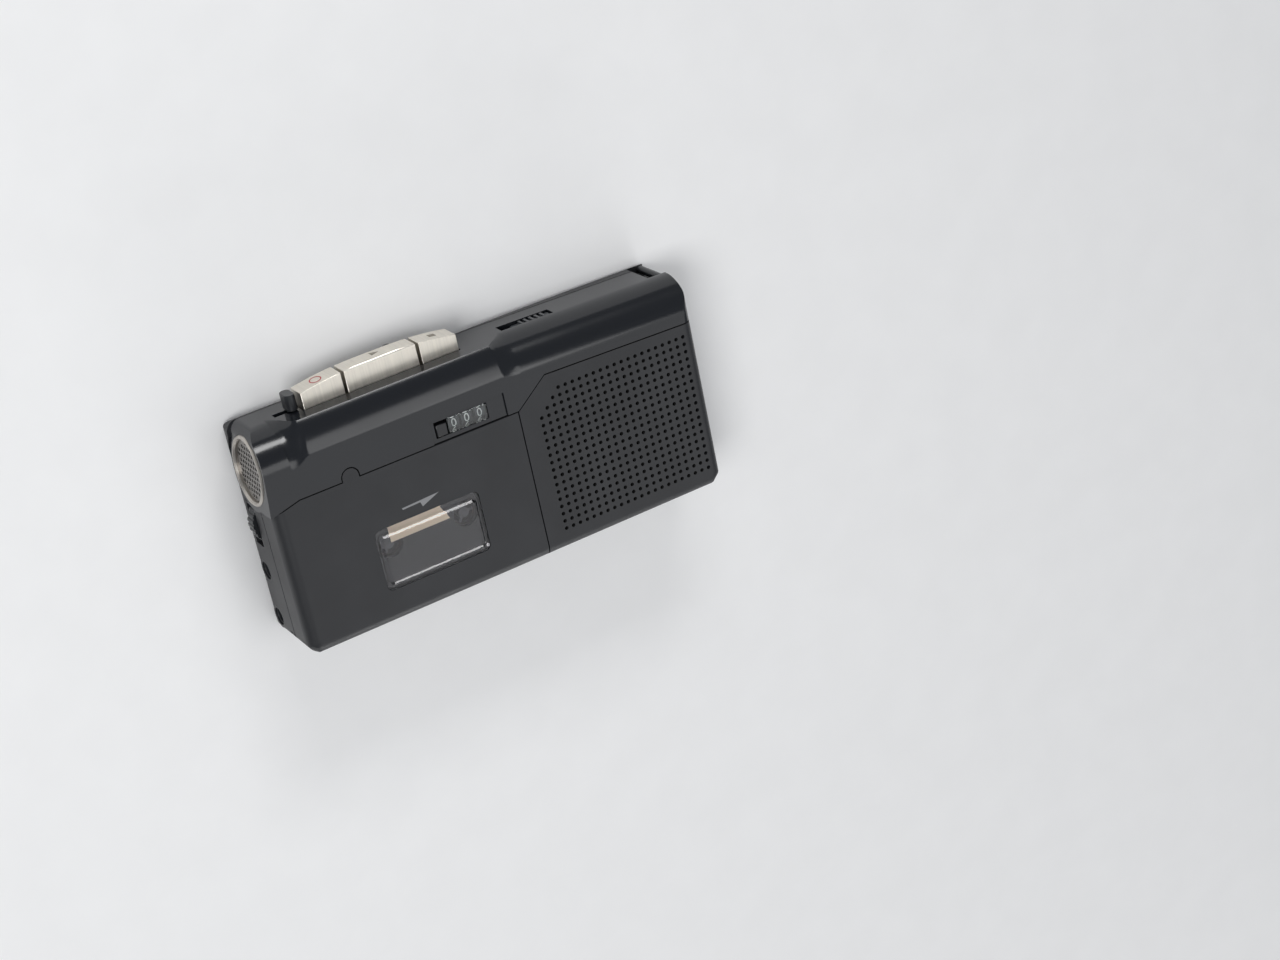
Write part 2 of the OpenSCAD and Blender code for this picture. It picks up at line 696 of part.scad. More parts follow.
// Pill-shaped knob on a stem that runs in the slot
module pause_knob() color("#2a2c2f") {
    for (s = [-1, 1])
        rod_y([pause_x, top_y + 0.3, key_z + s * 1.2], pause_r, 4);
    box([pause_x - pause_r, top_y + 0.3, key_z - 1.2], [pause_x + pause_r, top_y + 4.3, key_z + 1.2]);
    box([pause_x - 0.8, key_root_y, key_z - 0.65], [pause_x + 0.8, top_y + 0.4, key_z + 0.65]);
    box([pause_x - 0.8, key_root_y, key_z - 1.6], [pause_x + 0.8, key_root_y + flange_t, key_z + 1.6]);
}

// Round knob with a domed top behind the play key
module cue_knob() color("#26282b") {
    dome_r = 1.8;
    translate([cue_x, top_y + 0.3, cue_z]) rotate([-90, 0, 0]) rotate_extrude()
        intersection() {
            union() {
                square([dome_r, 4.5 - dome_r]);
                translate([0, 4.5 - dome_r]) circle(dome_r);
            }
            square([dome_r, 4.5]);
        }
    box([cue_x - 0.9, key_root_y, cue_z - 0.5], [cue_x + 0.9, top_y + 0.4, cue_z + 0.5]);
    box([cue_x - 0.9, key_root_y, cue_z - 1.2], [cue_x + 0.9, key_root_y + flange_t, cue_z + 1.2]);
}

// Ribbed knob of the slide switch, at the speaker end of its slot
module switch_knob() color("#55575a") {
    x1 = switch_x1 - 0.25;
    x0 = x1 - switch_knob_l;
    y1 = side_y(x1) - 0.5;
    half = switch_w / 2 - 0.3;
    box([x0, switch_y0, switch_z - half], [x1, y1, switch_z + half]);
    for (i = [0:4])
        box([x0 + 2.2 + i * 1.5, y1 - e, switch_z - half], [x0 + 2.9 + i * 1.5, y1 + 0.55, switch_z + half]);
    box([x0, switch_y0, switch_z - half - 1], [x1, switch_y0 + flange_t, switch_z + half + 1]);
}
module switch_body() color("#8e9092")
    box([switch_x0 - switch_lap, switch_y0 - 0.3 - switch_body_d, switch_z - 3],
        [switch_x1 + switch_lap, switch_y0 - 0.3, switch_z + 3]);

// Thumbwheel with a fluted rim
module volume_wheel() color("#2b2d30") difference() {
    flutes = 30;
    rod_z([volume_x, volume_y, volume_z - volume_t / 2], volume_r, volume_t);
    for (i = [0:flutes - 1])
        translate([volume_x, volume_y, 0])
            rotate((i + 0.5) * 360 / flutes)
                rod_z([volume_r + 0.15, 0, 0], 0.38, case_t);
    rod_z([volume_x, volume_y, 0], 1.2 + run_fit, case_t);
}
module volume_pot() color("#6d6f70") {
    rod_z([volume_x, volume_y, floor_z], 3, volume_z - volume_t / 2 - 0.3 - floor_z);
    rod_z([volume_x, volume_y, floor_z], 1.2, volume_z + volume_t / 2 + 0.6 - floor_z);
}

// Jack socket: bezel in the end wall, body behind it, blind bore
module jack(y) difference() {
    union() {
        rod_x([left_x, y, jack_z], jack_bezel_r - run_fit, wall + 0.3);
        box([left_x + wall + 0.2, y - jack_half, jack_z - jack_half],
            [left_x + jack_l, y + jack_half, jack_z + jack_half]);
    }
    rod_x([left_x - e, y, jack_z], jack_r, jack_l - 1);
    rod_x([left_x - e, y, jack_z], jack_r + 0.5, 0.5);
}
module earphone_jack() color("#4a4b4d") jack(jack_y[0]);
module microphone_jack() color("#4a4b4d") jack(jack_y[1]);

// Counter: bracket, shaft and three number wheels, read with the key side below
ear_x = number_pitch + number_w / 2 + 0.15;
ear_t = 0.6;
module counter_frame() color("#5d6062") difference() {
    union() {
        base_z = counter_z - number_r - 1.2;
        box([counter_x - ear_x - ear_t, counter_y - 2.5, base_z],
            [counter_x + ear_x + ear_t, counter_y + 2.5, base_z + 0.8]);
        for (x = [counter_x - ear_x - ear_t, counter_x + ear_x])
            box([x, counter_y - 1.6, base_z], [x + ear_t, counter_y + 1.6, counter_z + 1.4]);
        box([counter_x - 2, counter_y - 2.5, plate_z1], [counter_x + 2, counter_y + 2.5, base_z + 0.1]);
    }
    rod_x([counter_x - ear_x * 2, counter_y, counter_z], shaft_r + run_fit / 2, ear_x * 4);
}
module counter_shaft() color("silver")
    rod_x([counter_x - ear_x - ear_t, counter_y, counter_z], shaft_r, 2 * (ear_x + ear_t));
module number_wheel(i) difference() {
    rod_x([counter_x + i * number_pitch - number_w / 2, counter_y, counter_z], number_r, number_w);
    rod_x([counter_x - ear_x * 2, counter_y, counter_z], shaft_r + run_fit, ear_x * 4);
}
module number_wheel_units() color("#17181a") number_wheel(-1);
module number_wheel_tens() color("#17181a") number_wheel(0);
module number_wheel_hundreds() color("#17181a") number_wheel(1);
module counter_window() color("#aab6bb")
    box([counter_x - counter_half, counter_y - counter_low + 0.1, counter_z + number_r + 0.3],
        [counter_x + counter_half, counter_y + counter_high - 0.1, case_t - pocket_d + 0.25]);
module reset_button() color("#3b3d40") {
    x1 = counter_x - counter_half - 0.4;
    x0 = counter_x - button_x + 0.3;
    box([x0, counter_y - counter_low + 0.3, inner_z - 1.6], [x1, counter_y + 1.1, case_t - pocket_d + 0.4]);
    box([x0 - 0.9, counter_y - counter_low + 0.3, inner_z - 1.6], [x1, counter_y + 1.1, inner_z - 0.35]);
}

// Deck plate with pads that carry the cassette
module chassis_plate() color("#9b9c98") difference() {
    union() {
        box([left_x + barrel_l + 2.5, low_y + 4.5, plate_z0], [door_x1 - 1, plate_y1, plate_z1]);
        for (x = [cassette_x0 + 2, cassette_x0 + cassette_l - 4], y = [cassette_y0 + 1, cassette_y1 - 4])
            box([x, y, plate_z0], [x + 2, y + 2, cassette_z0]);
    }
    for (x = [take_up_x, supply_x])
        rod_z([x, hub_y, 0], spindle_r + run_fit, case_t);
    rod_z([capstan_x, capstan_y, 0], bearing_r + 0.02, case_t);
    for (p = post_places)
        rod_z([p.x, p.y, 0], 1.1, case_t);
}
module motor() color("#a3a4a2") difference() {
    rod_z([motor_x, motor_y, drive_z + 2.4], motor_r, plate_z0 - drive_z - 2.4);
    rod_z([motor_x, motor_y, 0], motor_shaft_r + run_fit, drive_z + 5);
}
module motor_pulley() color("#c8a45a") {
    rod_z([motor_x, motor_y, drive_z], pulley_r, 2.1);
    rod_z([motor_x, motor_y, drive_z], motor_shaft_r, 4.6);
}
// Flat belt round the pulley and the flywheel
module drive_belt() color("#1d1d1e") translate([0, 0, drive_z + 0.5]) linear_extrude(1.1) difference() {
    belt_outline(0.35 + 0.7);
    belt_outline(0.35);
}
module belt_outline(g) hull() {
    translate([motor_x, motor_y]) circle(pulley_r + g, $fn = 32);
    translate([capstan_x, capstan_y]) circle(flywheel_r + g, $fn = 64);
}
// Flywheel with the capstan pressed into it
module flywheel() color("#b7b29a") {
    difference() {
        rod_z([capstan_x, capstan_y, drive_z], flywheel_r, 2.9);
        difference() {
            rod_z([capstan_x, capstan_y, drive_z + 1.9], flywheel_r - 2, over);
            rod_z([capstan_x, capstan_y, drive_z], 3, over * 2);
        }
    }
    rod_z([capstan_x, capstan_y, drive_z], capstan_r, tape_z + 3 - drive_z);
}
module capstan_bearing() color("#b58d4a") difference() {
    rod_z([capstan_x, capstan_y, drive_z + 3.2], bearing_r, plate_z1 + 0.4 - drive_z - 3.2);
    rod_z([capstan_x, capstan_y, 0], capstan_r + run_fit, case_t);
}

// Spindle: disc under the plate, shaft through it, three wings in the cassette's hub
module spindle(x) translate([x, hub_y, 0]) {
    rod_z([0, 0, plate_z0 - 1.9], 4.2, 1.5);
    rod_z([0, 0, plate_z0 - 1.9], spindle_r, cassette_z1 - 1.2 - plate_z0 + 1.9);
    for (a = [0, 120, 240])
        rotate(a)
            box([0, -0.4, cassette_z0 + 0.6], [hub_bore_r - 0.3, 0.4, cassette_z1 - 1.6]);
}
module take_up_spindle() color("#d8d4c8") spindle(take_up_x);
module supply_spindle() color("#d8d4c8") spindle(supply_x);

// Sliding head carrier, with its heads and the pinch roller
module head_slide() color("#8b8d8c") difference() {
    box([capstan_x - 5, cassette_y1 + 0.6 + play_travel, slide_z],
        [head_x1 + 4, plate_y1 - 1, slide_z + slide_t]);
    box([capstan_x + 5, cassette_y1 + 8, 0], [head_x0 - 1, plate_y1 - 2.5, case_t]);
}
module record_head() color("#c4c4c0")
    box([head_x0, cassette_y1 + 0.4 + play_travel, slide_z + slide_t],
        [head_x0 + 6, cassette_y1 + 6.5, tape_z + 2.5]);
module erase_head() color("#3c3c3e")
    box([head_x1, cassette_y1 + 0.6 + play_travel, slide_z + slide_t],
        [head_x1 + erase_l, cassette_y1 + 5.5, tape_z + 1.5]);
module pinch_roller() color("#252526") difference() {
    rod_z([capstan_x, pinch_y, tape_z - 2.4], pinch_r, 4.8);
    rod_z([capstan_x, pinch_y, 0], pinch_pin_r + run_fit, case_t);
}
module pinch_pin() color("silver") {
    rod_z([capstan_x, pinch_y, slide_z + slide_t], pinch_pin_r, tape_z + 2.8 - slide_z - slide_t);
    rod_z([capstan_x, pinch_y, slide_z + slide_t], 1.6, tape_z - 2.6 - slide_z - slide_t);
}

// Microcassette: shell with hub holes, capstan hole and openings on the tape edge
module cassette_shell() color("#2c2d30") difference() {
    translate([0, 0, cassette_z0])
        linear_extrude(cassette_t)
            round_rect([cassette_x0, cassette_y0], [cassette_x0 + cassette_l, cassette_y1],
                [1.5, 1.5, 1.5, 1.5]);
    box([cassette_x0 + 1.2, cassette_y0 + 1.2, cassette_z0 + 1.2],
        [cassette_x0 + cassette_l - 1.2, cassette_y1 - 5.5, cassette_z1 - 1.2]);
    for (x = [take_up_x, supply_x])
        rod_z([x, hub_y, 0], hub_bore_r + 0.3, case_t);
    rod_z([capstan_x, capstan_y, 0], capstan_r + 0.7, case_t);
    box([capstan_x - 3.8, capstan_y - 1.6, tape_z - 3], [capstan_x + 3.8, cassette_y1 + over, tape_z + 3.4]);
    box([head_x0 - 1, cassette_y1 - 3, tape_z - 2.4], [head_x1 + 4, cassette_y1 + over, tape_z + 2.4]);
}
// Paper label with a slanted end
module cassette_label() color("#d8c8a4") translate([0, 0, cassette_z1]) linear_extrude(0.12)
    polygon([[window_x - 10, window_y + 3.4], [window_x + 6, window_y + 3.4], [window_x + 3.2, window_y + 9],
        [window_x + 3.2, window_y + 11], [window_x - 10, window_y + 11]]);
// Hub with its wound tape
module tape_hub(x, pack_r) difference() {
    rod_z([x, hub_y, tape_z - 1.9], pack_r, 3.8);
    rod_z([x, hub_y, 0], hub_bore_r, case_t);
}
module take_up_hub() color("#5b4636") tape_hub(take_up_x, 6.5);
module supply_hub() color("#5b4636") tape_hub(supply_x, 9.5);

module circuit_board() color("#2f5d3a") {
    box([board_x0, low_y + 3, board_z], [board_x1, top_y - 8, board_z + 1.2]);
    for (p = chips)
        box([board_x0 + board_w * p.x, low_y + p.y, board_z + 1.2],
            [board_x0 + board_w * p.z, low_y + p.y + board_w * (p.z - p.x) * 1.4, board_z + 2.6]);
}

// Flat speaker: basket with its magnet, and the cone
module speaker_basket() color("#7f8183") difference() {
    rod_z([speaker_x, speaker_y, speaker_z0], speaker_r, inner_z - 0.05 - speaker_z0);
    translate([speaker_x, speaker_y, speaker_z0 + 0.8]) rotate_extrude()
        polygon([[0, 1.2], [5, 1.2], [6, 0], [speaker_r - 3, 0], [speaker_r - 1.5, 1],
            [speaker_r - 1.5, 9], [0, 9]]);
}
module speaker_cone() color("#1f2022") translate([speaker_x, speaker_y, speaker_z0 + 0.8]) rotate_extrude()
    polygon([[0, 1.2], [5, 1.2], [speaker_r - 2.5, 1.9], [speaker_r - 1.5 - run_fit, 1.9],
        [speaker_r - 1.5 - run_fit, 2.3], [speaker_r - 3, 2.3], [5, 1.7], [0, 2]]);

module battery_cells() color("#b98a3e") for (x = cell_x) {
    rod_y([x, cell_y0, cell_z], cell_r, cell_l - 1);
    rod_y([x, cell_y0 + cell_l - 1 - e, cell_z], 2.6, 1 + e);
}
// Bent strips that press on the flat ends of the cells, and plates on the other ends
leaf_t = 0.4;
module contact_springs() color("#cfcfca") for (x = cell_x) {
    box([x - 4, low_y + wall, cell_z - 4], [x + 4, low_y + wall + leaf_t, cell_z + 4]);
    box([x - 1.5, low_y + wall, cell_z - 3], [x + 1.5, cell_y0, cell_z - 3 + leaf_t]);
    box([x - 1.5, cell_y0 - leaf_t, cell_z - 3], [x + 1.5, cell_y0, cell_z + 3]);
}
module contact_plates() color("#cfcfca") for (x = cell_x)
    box([x - 4, cell_y0 + cell_l, cell_z - 4], [x + 4, cell_y0 + cell_l + leaf_t, cell_z + 4]);

module strap_bar() color("#2a2c2f")
    rod_z([strap_x, strap_y, strap_z0], strap_r, case_t - 10 - strap_z0);

module chassis_screws() color("silver") for (p = post_places) {
    rod_z([p.x, p.y, plate_z1], 1.7, 0.6);
    rod_z([p.x, p.y, plate_z0 - 3], 0.9, 3 + plate_t + 0.1);
}
recess_l = 1.9;
recess_w = 0.45;
module cabinet_screws() color("#8c8d8d") for (p = post_places)
    difference() {
        union() {
            rod_z([p.x, p.y, 0.1], 1.4, 0.6);
            rod_z([p.x, p.y, 0.1], 0.8, 3.5);
        }
        // Cross recess
        box([p.x - recess_l / 2, p.y - recess_w / 2, 0], [p.x + recess_l / 2, p.y + recess_w / 2, 0.5]);
        box([p.x - recess_w / 2, p.y - recess_l / 2, 0], [p.x + recess_w / 2, p.y + recess_l / 2, 0.5]);
    }

upper_cabinet();
speaker_panel();
rear_cabinet();
battery_lid();
cassette_door();
door_window();
door_hinge_pin();
mic_ring();
mic_grille();
mic_capsule();
rec_key();
play_key();
stop_key();
key_spring_plate();
pause_knob();
cue_knob();
switch_knob();
switch_body();
volume_wheel();
volume_pot();
earphone_jack();
microphone_jack();
counter_frame();
counter_shaft();
number_wheel_units();
number_wheel_tens();
number_wheel_hundreds();
counter_window();
reset_button();
chassis_plate();
motor();
motor_pulley();
drive_belt();
flywheel();
capstan_bearing();
take_up_spindle();
supply_spindle();
head_slide();
record_head();
erase_head();
pinch_roller();
pinch_pin();
cassette_shell();
cassette_label();
take_up_hub();
supply_hub();
circuit_board();
speaker_basket();
speaker_cone();
battery_cells();
contact_springs();
contact_plates();
strap_bar();
chassis_screws();
cabinet_screws();
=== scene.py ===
"""Looks of a pocket dictation machine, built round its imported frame.

The frame brings the solids. This script gives them their finishes, rounds their edges, adds the stepped
window lens and the printed marks, and sets a plain studio.
"""

import math

import bmesh
import bpy
from mathutils import Matrix, Vector


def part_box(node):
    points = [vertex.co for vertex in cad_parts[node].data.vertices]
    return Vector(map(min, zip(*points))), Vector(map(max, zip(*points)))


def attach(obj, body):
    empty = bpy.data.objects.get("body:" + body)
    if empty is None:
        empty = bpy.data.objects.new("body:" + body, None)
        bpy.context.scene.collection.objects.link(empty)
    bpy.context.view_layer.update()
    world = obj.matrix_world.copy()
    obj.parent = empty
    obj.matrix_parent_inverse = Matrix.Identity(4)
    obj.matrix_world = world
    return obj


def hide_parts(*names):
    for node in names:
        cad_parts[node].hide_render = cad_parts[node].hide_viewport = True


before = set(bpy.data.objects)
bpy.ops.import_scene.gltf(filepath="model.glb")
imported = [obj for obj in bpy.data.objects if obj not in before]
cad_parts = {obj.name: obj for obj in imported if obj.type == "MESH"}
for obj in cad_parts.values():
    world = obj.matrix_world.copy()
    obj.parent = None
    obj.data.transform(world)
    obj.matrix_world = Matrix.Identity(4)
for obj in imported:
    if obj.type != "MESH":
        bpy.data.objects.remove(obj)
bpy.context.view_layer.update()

bl_info = {
    "name": "Pocket dictation machine",
    "version": (1, 0, 0),
    "blender": (4, 5, 0),
    "location": "View3D > Sidebar > Recorder",
    "description": "Dresses the dictation machine's frame and sets a plain studio round it",
    "category": "Object",
}

MM = 0.001

# Printed marks lie this far above the surface that carries them, and the flat ones are this thick
INK = 0.012 * MM
MARK_HEIGHT = 0.02 * MM

# Patches that handling leaves on plastic: their size, and where in the noise they begin and are full
PATCH_MM = 14
PATCH_BEGINS, PATCH_FULL = 0.35, 0.7
# Cosine of the turn from a face to its rounded edge, where rubbing begins and where it is full
RUB_BEGINS, RUB_FULL = 0.99, 0.8
# Relief of a moulding's grain and of the lines in brushed metal
GRAIN_DEPTH = 0.02 * MM
LINE_DEPTH = 0.015 * MM
# Depths below the speaker panel's face at which the painted shade on its hole walls begins and is full
HOLE_DARKENS, HOLE_DARK = 0.03 * MM, 0.15 * MM
# Width of the marks that haze acrylic
SCRATCH_MM = 1.5
# Width of the thin spots in printed ink, and the share of its colour that they keep
COVER_MM = 0.4
THIN_INK = 0.88

# Vertices closer than this are one, and faces that turn less than this are one flat
SEAM_GAP = 0.0005 * MM
FLAT_TURN = math.radians(0.6)
# Edges that turn more than these are shaded crisp, and are rounded
CRISP_TURN = math.radians(28)
ROUND_TURN = math.radians(32)
# Rounding of the case's lower corners, how far in from the case's sides they lie, and how they slant
CORNER_ROUND_MM = 1.3
CORNER_REACH = 5.5 * MM
CORNER_TURN, CORNER_SPREAD = math.radians(45), math.radians(15)
# Rounding of the barrel's rim, its depth from the end, its clearance outside the ring, and its turn
RIM_ROUND_MM = 0.7
RIM_DEPTH = 0.3 * MM
RIM_CLEAR = 0.2 * MM
RIM_TURN = math.radians(60)

# Radius of the arch that the three key tops share
KEY_ARCH = 120 * MM
# Marks on the key tops: the record ring's half sizes, line and height, and two outlines in mm
RING_HALF_U, RING_HALF_V = 1.5 * MM, 1.75 * MM
RING_LINE, RING_HEIGHT = 0.28 * MM, 0.03 * MM
RING_STEPS = 48
PLAY_OUTLINE = ((-1.0, -1.1), (1.2, 0.0), (-1.0, 1.1))
STOP_OUTLINE = ((-0.9, -0.9), (0.9, -0.9), (0.9, 0.9), (-0.9, 0.9))

# Figures round a number wheel: how many, and the size of their type
FIGURES = 10
FIGURE_SIZE = 3.0 * MM
# Cuts on either side of a figure's middle, which let it bend round the rim, and the step between them
FIGURE_CUTS = 4
FIGURE_STEP = 0.25 * MM
# Vertices of a figure that are closer than this are one
FIGURE_GAP = 0.001 * MM

# Depth of the window lens's shelf below the door's face, and the steps round each of the lens's corners
SHELF_DEPTH = 0.15 * MM
LENS_CORNER_STEPS = 6
# Edges of the lens that turn more than this stay crisp
LENS_CRISP = math.radians(12)
# Arrow printed on the door, in mm, and how far its middle lies beyond the window's upper side
ARROW_OUTLINE = ((-5.8, -0.2), (-5.6, -0.65), (-0.9, -0.5), (-0.5, -1.75), (4.3, 0.2))
ARROW_RISE = 3.4 * MM

# Studio, in metres: half the floor, and its drop below the case's back, so that they don't share a plane
FLOOR_HALF = 1.6
FLOOR_DROP = 0.02 * MM
# Strength of the room's own light, and the point that the lights face
ROOM_STRENGTH = 0.38
AIM = Vector((0, 0, 0.01))
# Place of each light, its width and height, and its share of the softbox's radiance
LIGHTS = {
    "softbox": ((0.12, 0.9, 0.42), (0.5, 0.2), 1.0),
    "front_card": ((0.43, -0.54, 0.98), (1.1, 1.1), 0.08),
    "low_card": ((0.17, -0.95, 0.28), (0.45, 0.16), 0.7),
    "top_card": ((0.33, 0.12, 1.14), (0.35, 0.35), 0.2),
    "end_card": ((-0.55, 0.1, 0.75), (0.4, 0.4), 0.8),
}
# The machine is seen from above its microphone end and key side, turned a little in the frame
CAMERA_PLACE = (-0.21447, 0.23381, 0.53748)
CAMERA_RIGHT = Vector((0.84369, -0.18849, 0.50265))
CAMERA_UP = Vector((0.35946, 0.89380, -0.26817))
CAMERA_SENSOR_MM = 36
CAMERA_NEAR, CAMERA_FAR = 0.01, 20


def linear(code):
    """A colour given as #rrggbb in sRGB, as linear red, green, blue and alpha."""
    parts = [int(code[i:i + 2], 16) / 255 for i in (1, 3, 5)]
    return (*(c / 12.92 if c <= 0.04045 else ((c + 0.055) / 1.055) ** 2.4 for c in parts), 1.0)


def scaled(colour, share):
    """A linear colour made lighter or darker, its alpha kept at 1."""
    return (*(min(1.0, c * share) for c in colour[:3]), 1.0)


def add(tree, kind, inputs=None, **settings):
    """Adds a node with its settings; each input is a value, or the socket that feeds it."""
    node = tree.nodes.new(kind)
    for name, value in settings.items():
        setattr(node, name, value)
    for name, value in (inputs or {}).items():
        if isinstance(value, bpy.types.NodeSocket):
            tree.links.new(value, node.inputs[name])
        else:
            node.inputs[name].default_value = value
    return node


def surface(name, **sockets):
    """A new material: its node tree, its shader and the place on the part that patterns are drawn from."""
    material = bpy.data.materials.new(name)
    material.use_nodes = True
    tree = material.node_tree
    shader = tree.nodes["Principled BSDF"]
    for socket, value in sockets.items():
        shader.inputs[socket.replace("_", " ")].default_value = value
    return material, tree, shader, add(tree, "ShaderNodeTexCoord").outputs["Object"]


def shaded(tree, shader, colours, mask, roughness, bump=None, depth=0.0, strength=0.0):
    """Feeds the shader: two colours and two roughnesses mixed by a mask, and a bump of the given depth."""
    mix = add(tree, "ShaderNodeMix", {0: mask, 6: colours[0], 7: colours[1]}, data_type="RGBA")
    tree.links.new(mix.outputs[2], shader.inputs["Base Color"])
    rough = add(tree, "ShaderNodeMapRange", {"Value": mask, "To Min": roughness[0], "To Max": roughness[1]})
    tree.links.new(rough.outputs[0], shader.inputs["Roughness"])
    if bump is not None:
        relief = add(tree, "ShaderNodeBump", {"Height": bump, "Distance": depth, "Strength": strength})
        tree.links.new(relief.outputs[0], shader.inputs["Normal"])


def moulded_plastic(name, colour, roughness, grain_mm=0.45, grain=0.25, ior=1.53, lighter=1.12,
                    rubbed_mm=0.0):
    """Moulded plastic: the tool's grain breaks up the gloss, and handling leaves faint lighter patches.

    The grain is drawn coarser than a real one, which is too fine to show. rubbed_mm is the width of the
    strip along each edge that hands have rubbed lighter and smoother.
    """
    material, tree, shader, place = surface(name, IOR=ior)
    pits = add(tree, "ShaderNodeTexNoise", {"Vector": place, "Scale": 1 / (grain_mm * MM), "Detail": 2.0})
    handled = add(tree, "ShaderNodeTexNoise", {"Vector": place, "Scale": 1 / (PATCH_MM * MM), "Detail": 4.0})
    patches = add(tree, "ShaderNodeMapRange",
                  {"Value": handled.outputs[0], "From Min": PATCH_BEGINS, "From Max": PATCH_FULL})
    mask = patches.outputs[0]
    if rubbed_mm:
        rounded = add(tree, "ShaderNodeBevel", {"Radius": rubbed_mm * MM}, samples=4)
        facing = add(tree, "ShaderNodeNewGeometry").outputs["Normal"]
        turn = add(tree, "ShaderNodeVectorMath", {0: rounded.outputs[0], 1: facing}, operation="DOT_PRODUCT")
        strip = add(tree, "ShaderNodeMapRange",
                    {"Value": turn.outputs["Value"], "From Min": RUB_BEGINS, "From Max": RUB_FULL})
        spots = add(tree, "ShaderNodeMath", {0: strip.outputs[0], 1: handled.outputs[0]},
                    operation="MULTIPLY")
        worn = add(tree, "ShaderNodeMath", {0: mask, 1: spots.outputs[0]}, operation="ADD", use_clamp=True)
        mask = worn.outputs[0]
    shaded(tree, shader, (colour, scaled(colour, lighter)), mask, roughness, pits.outputs[0], GRAIN_DEPTH,
           grain)
    return material


def darken_holes(material, node, rim_mm):
    """Paints shade on the walls of a panel's holes, near black and dull below its face; its sides, rim_mm
    wide, stay as they are.
    """
    tree = material.node_tree
    shader = tree.nodes["Principled BSDF"]
    low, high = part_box(node)
    place = add(tree, "ShaderNodeTexCoord").outputs["Object"]
    place = add(tree, "ShaderNodeSeparateXYZ", {0: place}).outputs
    depth = {"Value": place[2], "From Min": high.z - HOLE_DARKENS, "From Max": high.z - HOLE_DARK}
    inside = add(tree, "ShaderNodeMapRange", depth).outputs[0]
    for axis in (0, 1):
        centre = (low[axis] + high[axis]) / 2
        half = (high[axis] - low[axis]) / 2 - rim_mm * MM
        near = add(tree, "ShaderNodeMath", {0: place[axis], 1: centre, 2: half}, operation="COMPARE")
        inside = add(tree, "ShaderNodeMath", {0: inside, 1: near.outputs[0]}, operation="MULTIPLY").outputs[0]
    colour = shader.inputs["Base Color"].links[0].from_socket
    # Painted shade: the hole walls take a near-black colour in place of the moulding's own
    painted_shade_colour = add(tree, "ShaderNodeMix", {0: inside, 6: colour, 7: linear("#050505")}, data_type="RGBA")
    tree.links.new(painted_shade_colour.outputs[2], shader.inputs["Base Color"])
    rough = shader.inputs["Roughness"].links[0].from_socket
    dull = add(tree, "ShaderNodeMath", {0: rough, 1: inside}, operation="MAXIMUM")
    tree.links.new(dull.outputs[0], shader.inputs["Roughness"])


def brushed_metal(name, colour, roughness, line_mm=0.3, along=(0.03, 1.0, 1.0), strength=0.3, darker=0.82):
    """Metal finished with an abrasive: the lines it leaves stretch the highlights across them.

    along squeezes the pattern on each axis, so a small share there draws it out into lines, and (1, 1, 1)
    leaves even specks. The lines are drawn wider than real ones, which are too fine to show.
    """
    material, tree, shader, place = surface(name, Metallic=1.0)
    stretch = add(tree, "ShaderNodeVectorMath", {0: place, 1: along}, operation="MULTIPLY").outputs[0]
    lines = add(tree, "ShaderNodeTexNoise", {"Vector": stretch, "Scale": 1 / (line_mm * MM), "Detail": 3.0})
    shaded(tree, shader, (scaled(colour, darker), colour), lines.outputs[0], roughness, lines.outputs[0],
           LINE_DEPTH, strength)
    return material


def clear_acrylic(name, tint, scratched):
    """Polished acrylic: clear with a faint tint; scratched is the haze that years in a pocket leave."""
    material, tree, shader, place = surface(name, IOR=1.49, Transmission_Weight=1.0)
    shader.inputs["Base Color"].default_value = tint
    marks = add(tree, "ShaderNodeTexNoise", {"Vector": place, "Scale": 1 / (SCRATCH_MM * MM), "Detail": 6.0})
    haze = add(tree, "ShaderNodeMapRange", {"Value": marks.outputs[0], "To Min": 0.0, "To Max": scratched})
    tree.links.new(haze.outputs[0], shader.inputs["Roughness"])
    return material


def printed_ink(name, colour):
    """Pad-printed ink: a thin matt film with slightly uneven cover."""
    material, tree, shader, place = surface(name)
    cover = add(tree, "ShaderNodeTexNoise", {"Vector": place, "Scale": 1 / (COVER_MM * MM), "Detail": 3.0})
    shaded(tree, shader, (scaled(colour, THIN_INK), colour), cover.outputs[0], (0.45, 0.6))
    return material


